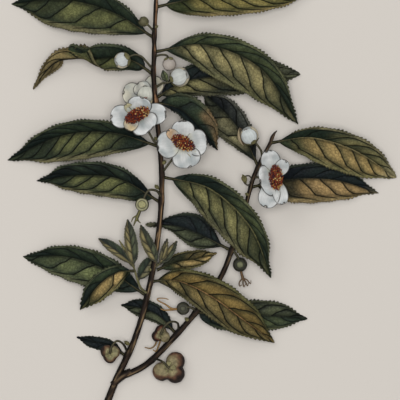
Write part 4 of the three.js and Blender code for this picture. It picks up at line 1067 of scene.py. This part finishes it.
for seed, (name, fruit) in enumerate(youngFruits.items()):
    centre, radius = np.array(fruit["centre"], float), fruit["radius"]
    disc, line, cup, skin = (shade(fruit[key]) for key in ("disc", "line", "cup", "skin"))
    bare = fruit["bare"]  # how much of it the disc takes up
    places, faces, _ = turnedForm(centre, [0, 0, 1], ballRings(radius, 40, 0.9), 40)
    out = np.linalg.norm((places - centre)[..., :2], axis=-1) / radius + 0.06 * mottle(places, 2.5, seed)
    above = places[..., 2] > centre[2]
    lip, ring = hump(out, bare, 0.07) * above, hump(out - bare, 0.14, 0.09) * above
    places = places + unit(places - centre) * (0.25 * ring - 0.2 * lip)[..., None]
    pigment = blended(disc, cup, smooth(out, bare, bare + 0.05))
    # painted shade: the skin tone darkens the ball round its sides and all over its underside
    pigment = blended(pigment, skin, np.where(above, smooth(out, 0.8, 0.93), 1.0))
    pigment = blended(pigment, line, 0.9 * lip)
    pigment = pigment * (1 + 0.3 * mottle(places, 1.5, seed))[..., None]
    forms = [(places, faces, {"pigment": pigment}),
             stalkForm(fruit["stalk"] + [fruit["centre"]], [0.95, 0.8, 0.85])]
    for route, widths in fruit["styles"]:
        forms.append(stalkForm(route, widths, 36, 8, *fruit["styleTones"]))
    makePiece(name + "_skin", forms, [greenSkin], [name])
print("young fruits", len(youngFruits))

# Capsule shell: dry, tough and matt, with a fine grain that breaks the light.
dryShell = grownMaterial("dryCapsuleShell", {
    "ior": 1.5, "gloss": 0.25, "roughness": (0.6, 0.8),
    "cloud": 2.4, "clouding": 0.3, "grain": 0.7, "cell": 1.1, "netting": 0.22, "netDeep": -0.5,
    "veinColour": "#2c1d14", "relief": 0.8,
})
# Each capsule: the size of a lobe, how far out it lies and the ways that the three lobes lie;
# tan or olive where its shell faces up and red brown round its rim, deepest on its dark side:
# the shell's own colour with painted light on its top and painted shade round its rim.
capsules = {
    "capsule_1": {
        "on": "main_stem", "centre": [-58.5, -99.8, 8.2],
        "stalk": [[-47.5, -98.5, 6.5], [-50, -93.5, 12], [-54, -91.5, 14.5], [-57.5, -95.5, 14.5]],
        "lobe": 4.3, "out": 2.4, "turns": [150, 20, 270], "top": "#8b8462", "mid": "#614632",
        "rim": "#20130e", "dark": 215, "bias": 0.35, "round": 0.5,
    },
    "capsule_2": {
        "on": "side_branch", "centre": [-25.5, -87.5, 9.6],
        "stalk": [[-14, -85, 7.5], [-14.5, -80, 12.5], [-19, -79, 15], [-23, -82, 15]], "lobe": 3.7,
        "out": 2.7, "turns": [200, 90, 330],
        "styles": [
            [[-27.5, -89.5, 8], [-29, -94, 8], [-32, -96.5, 7.5], [-36, -96, 7]],
            [[-26, -92, 8], [-27.2, -95.5, 8], [-28.6, -98.4, 7.5], [-30.6, -97.6, 7]],
        ],
        "top": "#7d7355", "mid": "#55301f", "rim": "#1c0e0b", "dark": 165, "bias": 0.6, "round": 0.25,
    },
    "capsule_3": {
        "on": "side_branch", "centre": [-19.8, -109, 7],
        "stalk": [[-31, -104.5, 5.4], [-28, -103.5, 11], [-24, -105, 15], [-21, -108, 14]], "lobe": 6.2,
        "out": 5.6, "turns": [46, 312, 208], "top": "#857b5b", "mid": "#5f4130", "rim": "#1c110d",
        "dark": 320, "bias": 0.35, "round": 0.3,
    },
}

shellGrid = (46, 96)  # rings from its foot to its top, and places round each
# the painted shade in the valleys between a capsule's lobes
groove = shade("#1d1510")
for seed, (name, capsule) in enumerate(capsules.items()):
    centre, lobe, out = np.array(capsule["centre"], float), capsule["lobe"], capsule["out"]
    rings, around = shellGrid
    # One shell in three lobes. The reach in each direction is the farthest of the lobes, eased
    # where two of them meet.
    angles = roundAngles(around)
    reaches = []
    for turn in capsule["turns"]:
        off = angles - math.radians(turn)
        inner = lobe**2 - (out * np.sin(off)) ** 2
        met = (inner > 0) & ((np.cos(off) > 0) | (out < lobe))
        reaches.append(np.where(met, out * np.cos(off) + np.sqrt(np.maximum(inner, 0)), lobe * 0.7))
    reaches = np.array(reaches)
    reach = np.log(np.exp(reaches * 2).sum(axis=0)) / 2 - 0.1
    valley = np.clip((reach.max() - reach) / (reach.max() - reach.min() + 1e-6), 0, 1) ** 1.5
    tilt = np.linspace(-1, 1, rings)[:, None] * math.pi / 2 * 0.985
    wide = np.cos(tilt) ** 0.72
    top = np.clip(np.sin(tilt), 0, 1)
    high = np.sin(tilt) * lobe * 1.05 * (1 - 0.3 * valley * (1 - wide * 0.2))
    high = high * (1 - 0.25 * hump(wide, 0, 0.3))
    far = reach * wide * (1 - capsule["round"] * 0.35 * valley * top * wide)
    flat = stacked(np.cos(angles) * far, np.sin(angles) * far, high)
    places = centre + flat
    dent = mottle(places, 3.0, seed + 3)
    places = places + unit(flat) * (0.3 * dent)[..., None]
    # painted light where the shell faces up, and painted shade round its rim, deepest on the dark side
    side = np.cos(angles - math.radians(capsule["dark"]))
    depth = wide + capsule["bias"] * side * wide + 0.22 * mottle(places, 3.6, seed)
    depth = np.where(tilt < 0, 1.3, depth)
    pigment = blended(shade(capsule["top"]), shade(capsule["mid"]), smooth(depth, 0.5, 0.85))
    pigment = blended(pigment, shade(capsule["rim"]), smooth(depth, 0.8, 1.05))
    pigment = pigment * (1 + 0.35 * mottle(places * [1, 1, 0.5], 1.4, seed + 7))[..., None]
    # painted shade in the valleys where the lobes meet
    deep = np.clip(1.1 * smooth(valley, 0.75, 1.0) * smooth(wide, 0.55, 0.95), 0, 1)
    forms = [loftForm(places, pigment=blended(pigment, groove, deep))]
    crown = centre + up * lobe * 0.2
    for k in range(5):
        forms.append(wrapForm(crown, [0.15, 0.05, -1], lobe * (0.86 + 0.03 * k), 72 * k + 30 * seed, 30,
                              (12, 50), ("#857f5a", "#1f1912"), seed + k, thick=0.35, belly=0.6))
    forms.append(stalkForm(capsule["stalk"] + [centre + up * lobe * 1.1], [0.8, 0.7, 0.75, 0.9], 28, 12))
    for route in capsule.get("styles", []):
        forms.append(stalkForm([capsule["centre"]] + route, [0.7, 0.6, 0.5, 0.35], 28, 8,
                               "#8f7142", "#4a3520"))
    makePiece(name + "_shell", forms, [dryShell], [name])
print("capsules", len(capsules))

# The woody stems, as places and the radius at each.
mainStem = [
    [-62, -135.5, 2.7, 2.4], [-54.5, -117, 3.6, 2.2], [-42.5, -90.5, 7, 2], [-34.5, -63.5, 10.5, 1.9],
    [-28.5, -32.5, 13.3, 1.8], [-25, -0.5, 15, 1.75], [-25.5, 29, 16, 1.7], [-28.5, 58.5, 16.8, 1.6],
    [-30, 81, 17.3, 1.5], [-29.5, 105.5, 17.5, 1.4], [-28.5, 130, 17.2, 1.35], [-27.5, 153, 16.5, 1.2],
    [-26, 174, 15.5, 1],
]

sideBranch = [
    [-54, -116.5, 3.7, 2.1], [-35.5, -107.5, 5, 2], [-17.5, -90, 7.2, 1.9], [-2, -72, 9.2, 1.8],
    [13.5, -50, 11, 1.75], [22, -28, 12.2, 1.6], [30, -2.5, 12.8, 1.45], [35, 15.5, 13, 1.3],
    [46, 38, 12.6, 1.1],
]

sideTip = [
    [45.5, 37, 12.6, 1], [46.8, 40.5, 12.8, 1.3], [48.4, 43.4, 12.6, 0.7], [50, 45, 12.4, 0.3],
]

# Bark of a young tea twig: smooth, with fine lengthwise ridges, so that its light breaks up
# into streaks along the twig. The ridges are drawn twice as coarse as life.
twigBark = grownMaterial("smoothTwigBark", {
    "ior": 1.5, "gloss": 0.12, "roughness": (0.6, 0.8), "alongLimb": 7.0,
    "cloud": 1.3, "clouding": 0.3, "grain": 0.5, "cell": 1.6, "netting": 0.3, "netDeep": -0.6,
    "veinColour": "#1f1712", "relief": 0.6,
})
# Wood laid bare by the cut: pale round a brown pith, fibrous and dry, so it has no gloss.
cutWood = grownMaterial("cutTwigWood", {
    "ior": 1.5, "gloss": 0.15, "roughness": (0.8, 0.95),
    "cloud": 0.8, "clouding": 0.18, "grain": 0.15, "cell": 0.25, "netting": 0.3, "netDeep": -0.5,
    "veinColour": "#7a6242", "relief": 0.5,
})
cutRings = [[1.0, "#2b2018"], [0.94, "#4a3a26"], [0.9, "#a9a06c"], [0.8, "#c2ab80"], [0.45, "#ad9468"],
            [0.2, "#b59c70"], [0.14, "#5e4429"], [0.03, "#6d5132"]]  # share of the radius, and its colour

bark = {
    # dark is painted shade down the stem's sides, mid the bark's own brown, light a painted highlight along
    # its top, and young the redder colour that highlight takes higher up the stem
    "dark": "#100c09", "mid": "#31251d", "light": "#8c7555", "young": "#9a7352",
    "ridge": 0.07,
    "swelling": 0.4,  # how far the stem swells under each leaf, and over what length
    "swellLong": 2.6,
    "scarAt": 3.0,  # how far from the leaf's middle its scar lies, and how wide it is
    "scarWide": 0.5,
}


def stemForms(points, steps, sides, seed, joints, cut=False, redder=False, highlightShare=1.0, shadedStretchAt=None):
    widths = [point[3] for point in points]
    t = np.linspace(0, 1, steps + 1)
    places, ways = limbRings(points, widths, t, sides)
    centres, _ = along(points, t)
    run = np.concatenate([[0], np.cumsum(np.linalg.norm(np.diff(centres, axis=0), axis=1))])[:, None]
    angles = roundAngles(sides)
    radius = np.interp(t, np.linspace(0, 1, len(widths)), widths)[:, None]
    strand = stacked(np.cos(angles) * 2.2, run / 9, np.sin(angles) * 2.2)
    streak = mottle(strand, 0.8, seed)
    grow = bark["ridge"] * 2 * streak + 0.12 * mottle(strand * [1, 3, 1], 1.5, seed + 5)
    scar = np.zeros_like(grow)
    for joint in joints:  # the stem swells under each leaf and carries its scar line
        start = np.asarray(joint[0][:3], float)
        way = unit(np.asarray(joint[1][:3], float) - start)
        near = np.linalg.norm(centres - start, axis=1)
        if near.min() > 2 * bark["scarAt"]:
            continue
        facing = 0.55 + 0.45 * ways @ way
        grow = grow + bark["swelling"] * hump(near, 0, bark["swellLong"])[:, None] * facing
        scar = np.maximum(scar, hump(near, bark["scarAt"], bark["scarWide"])[:, None] * facing)
    grow = grow * smooth(t, -0.01, 0.01)[:, None]
    places = places + ways * grow[..., None]
    # painted shade down the stem's sides and a painted highlight along its top, a little to the right
    facing = 0.95 * ways[..., 2] + 0.33 * ways[..., 0]
    patch = mottle(strand * [1, 0.6, 1], 1.0, seed + 9)
    pigment = blended(shade(bark["dark"]), shade(bark["mid"]), smooth(facing + 0.25 * streak, 0.76, 0.98))
    light = blended(shade(bark["light"]), shade(bark["young"]), smooth(t, 0.3, 0.55)[:, None] * redder)
    if shadedStretchAt:  # a stretch in painted shade, where the painted highlight fades
        highlightShare = highlightShare * (1 - 0.85 * np.exp(-(((t - shadedStretchAt) / 0.07) ** 4)))[:, None]
    pigment = blended(pigment, light, 0.95 * highlightShare * smooth(facing + 0.35 * streak + 0.5 * patch, 0.93, 1.2))
    pigment = blended(pigment, shade(bark["dark"]), 0.7 * np.clip(scar, 0, 1))
    veins = stacked(np.cos(angles) * radius, run, np.sin(angles) * radius)
    forms = [loftForm(places, pigment=pigment, veins=veins)]
    if cut:
        ahead = unit(centres[1] - centres[0])
        rings = [centres[0] + (places[0] - centres[0]) * share - ahead * 0.1 * (share < 1)
                 for share, _ in cutRings]
        tones = [[shade(colour)] * sides for _, colour in cutRings]
        rings, faces, looks = loftForm(np.array(rings), pigment=tones, material=1)
        forms.append((rings, [face[::-1] for face in faces], looks))
    return forms


def jointsOf(stem):
    found = [leaf["midrib"] for leaf in leaves.values() if leaf["on"] == stem]
    for table in (flowers, buds, youngFruits, capsules):
        found += [shape["stalk"] for shape in table.values() if shape["on"] == stem]
    return found


collar = [[-57, -120.5, 3.6, 2.2], [-51, -115, 4, 2.5], [-45, -111.5, 4.6, 2.1]]
mainForms = stemForms(mainStem, 340, 20, 3, jointsOf("main_stem") + [sideBranch], cut=True, redder=True,
                      shadedStretchAt=0.52)
makePiece("main_stem_bark", mainForms, [twigBark, cutWood], ["main_stem"])
sideForms = stemForms(sideBranch, 240, 20, 4, jointsOf("side_branch"), highlightShare=0.6)
sideForms += stemForms(collar, 20, 16, 5, []) + stemForms(sideTip, 24, 14, 6, [], highlightShare=0.15)
makePiece("side_branch_bark", sideForms, [twigBark], ["side_branch"])
print("stems", len(mainForms) + len(sideForms))

# Small pointed buds sit in the leaf axils: where each sits, the way it points and its length.
axilBuds = {
    "main_stem": [
        [[-27.2, 7.5, 16], [-0.6, 0.7, 0.4], 3.6], [[-24.2, 23.5, 16.4], [0.7, 0.6, 0.4], 3.4],
        [[-46.5, -94, 7], [-0.8, 0.6, 0.3], 3.8], [[-27.6, 39, 16.6], [-0.7, 0.6, 0.4], 3.2],
        [[-29.4, 111.5, 17.6], [0.8, 0.5, 0.3], 3.0], [[-28, 140, 17.2], [0.6, 0.7, 0.3], 3.0],
        [[-31, -46, 12.6], [-0.8, 0.6, 0.2], 3.2],
    ],
    "side_branch": [
        [[-7.5, -78.5, 9], [-0.7, 0.6, 0.4], 3.6], [[21, -30, 12.6], [0.8, 0.5, 0.4], 3.2],
        [[31.5, 3, 13.2], [-0.8, 0.5, 0.4], 3.0], [[29.4, 12, 14.6], [-0.35, 0.9, 0.1], 5.0],
    ],
}
pointRings = [[-0.3, 0.25], [0.05, 0.75], [0.35, 1.0], [0.65, 0.85], [0.88, 0.45], [1.0, 0.08]]
for stem, spots in axilBuds.items():
    forms = []
    for seed, (place, way, long) in enumerate(spots):
        rings = [[step * long, wide * long * 0.3] for step, wide in pointRings]
        forms.append(turnedForm(place, way, rings, 12, pigment=shade("#54502f")))
        swelling = np.array(place) + unit(np.array(way)) * long * 0.4
        for k in range(3):
            forms.append(wrapForm(swelling, way, long * 0.34, 120 * k + 30 * seed, 66, (20, 130),
                                  ("#6a6440", "#2a2718"), seed + k, thick=0.15, long=1.5))
    if stem == "side_branch":  # the stalk of a lost flower curls round the branch
        curl = [[33.5, 11, 13.4], [31, 9.6, 14.4], [28.6, 11.6, 14.8], [29, 15, 14.8], [32, 15.6, 14.6],
                [33.6, 13, 14.8], [32, 11.6, 15]]
        forms.append(limbForm(curl, [0.55, 0.5, 0.5, 0.45, 0.3], 60, 8, pigment=shade("#2e271d")))
    makePiece(stem + "_axil_buds", forms, [greenSkin], [stem])
print("axil buds", sum(len(spots) for spots in axilBuds.values()))

# Pale matt paper under the branch.
paper, _, _ = newMaterial("paleMattPaper", Base_Color=linear("#cec8c0"), Roughness=0.9,
                          Specular_IOR_Level=0.1)
halfPaper = 1.5  # metres
sheet = bpy.data.meshes.new("paper")
sheet.from_pydata([(x * halfPaper, y * halfPaper, 0) for x, y in ((-1, -1), (1, -1), (1, 1), (-1, 1))], [],
                  [(0, 1, 2, 3)])
sheet.materials.append(paper)
table = bpy.data.objects.new("paper", sheet)
bpy.context.scene.collection.objects.link(table)

scene = bpy.context.scene
world = bpy.data.worlds.new("studio")
world.use_nodes = True
sky = world.node_tree.nodes["Background"].inputs
sky["Color"].default_value = linear("#f1f1f2")
sky["Strength"].default_value = 0.32
scene.world = world

# A soft box straight overhead keeps the shadows under the leaves, and a key at the upper left
# and a fill at the lower right model them.
softBoxes = {
    "overhead": {"place": (0.0, 0.0, 2.6), "size": 1.2, "watts": 46},
    "key": {"place": (-0.9, 0.9, 1.6), "size": 1.0, "watts": 6},
    "fill": {"place": (0.9, -0.9, 1.8), "size": 1.4, "watts": 2},
}
for name, box in softBoxes.items():
    light = bpy.data.lights.new(name, "AREA")
    light.size = box["size"]
    light.energy = box["watts"]
    lamp = bpy.data.objects.new(name, light)
    lamp.location = box["place"]
    lamp.rotation_euler = (-Vector(box["place"])).to_track_quat("-Z", "Y").to_euler()
    scene.collection.objects.link(lamp)

# Straight down on the branch, from a little over two metres.
lens = bpy.data.cameras.new("topCamera")
lens.lens = 300
lens.sensor_width = 36
lens.clip_start = 0.05
lens.clip_end = 20
camera = bpy.data.objects.new("topCamera", lens)
camera.location = (-0.001, -0.0375, 2.177)
scene.collection.objects.link(camera)
scene.camera = camera
scene.view_settings.view_transform = "Standard"
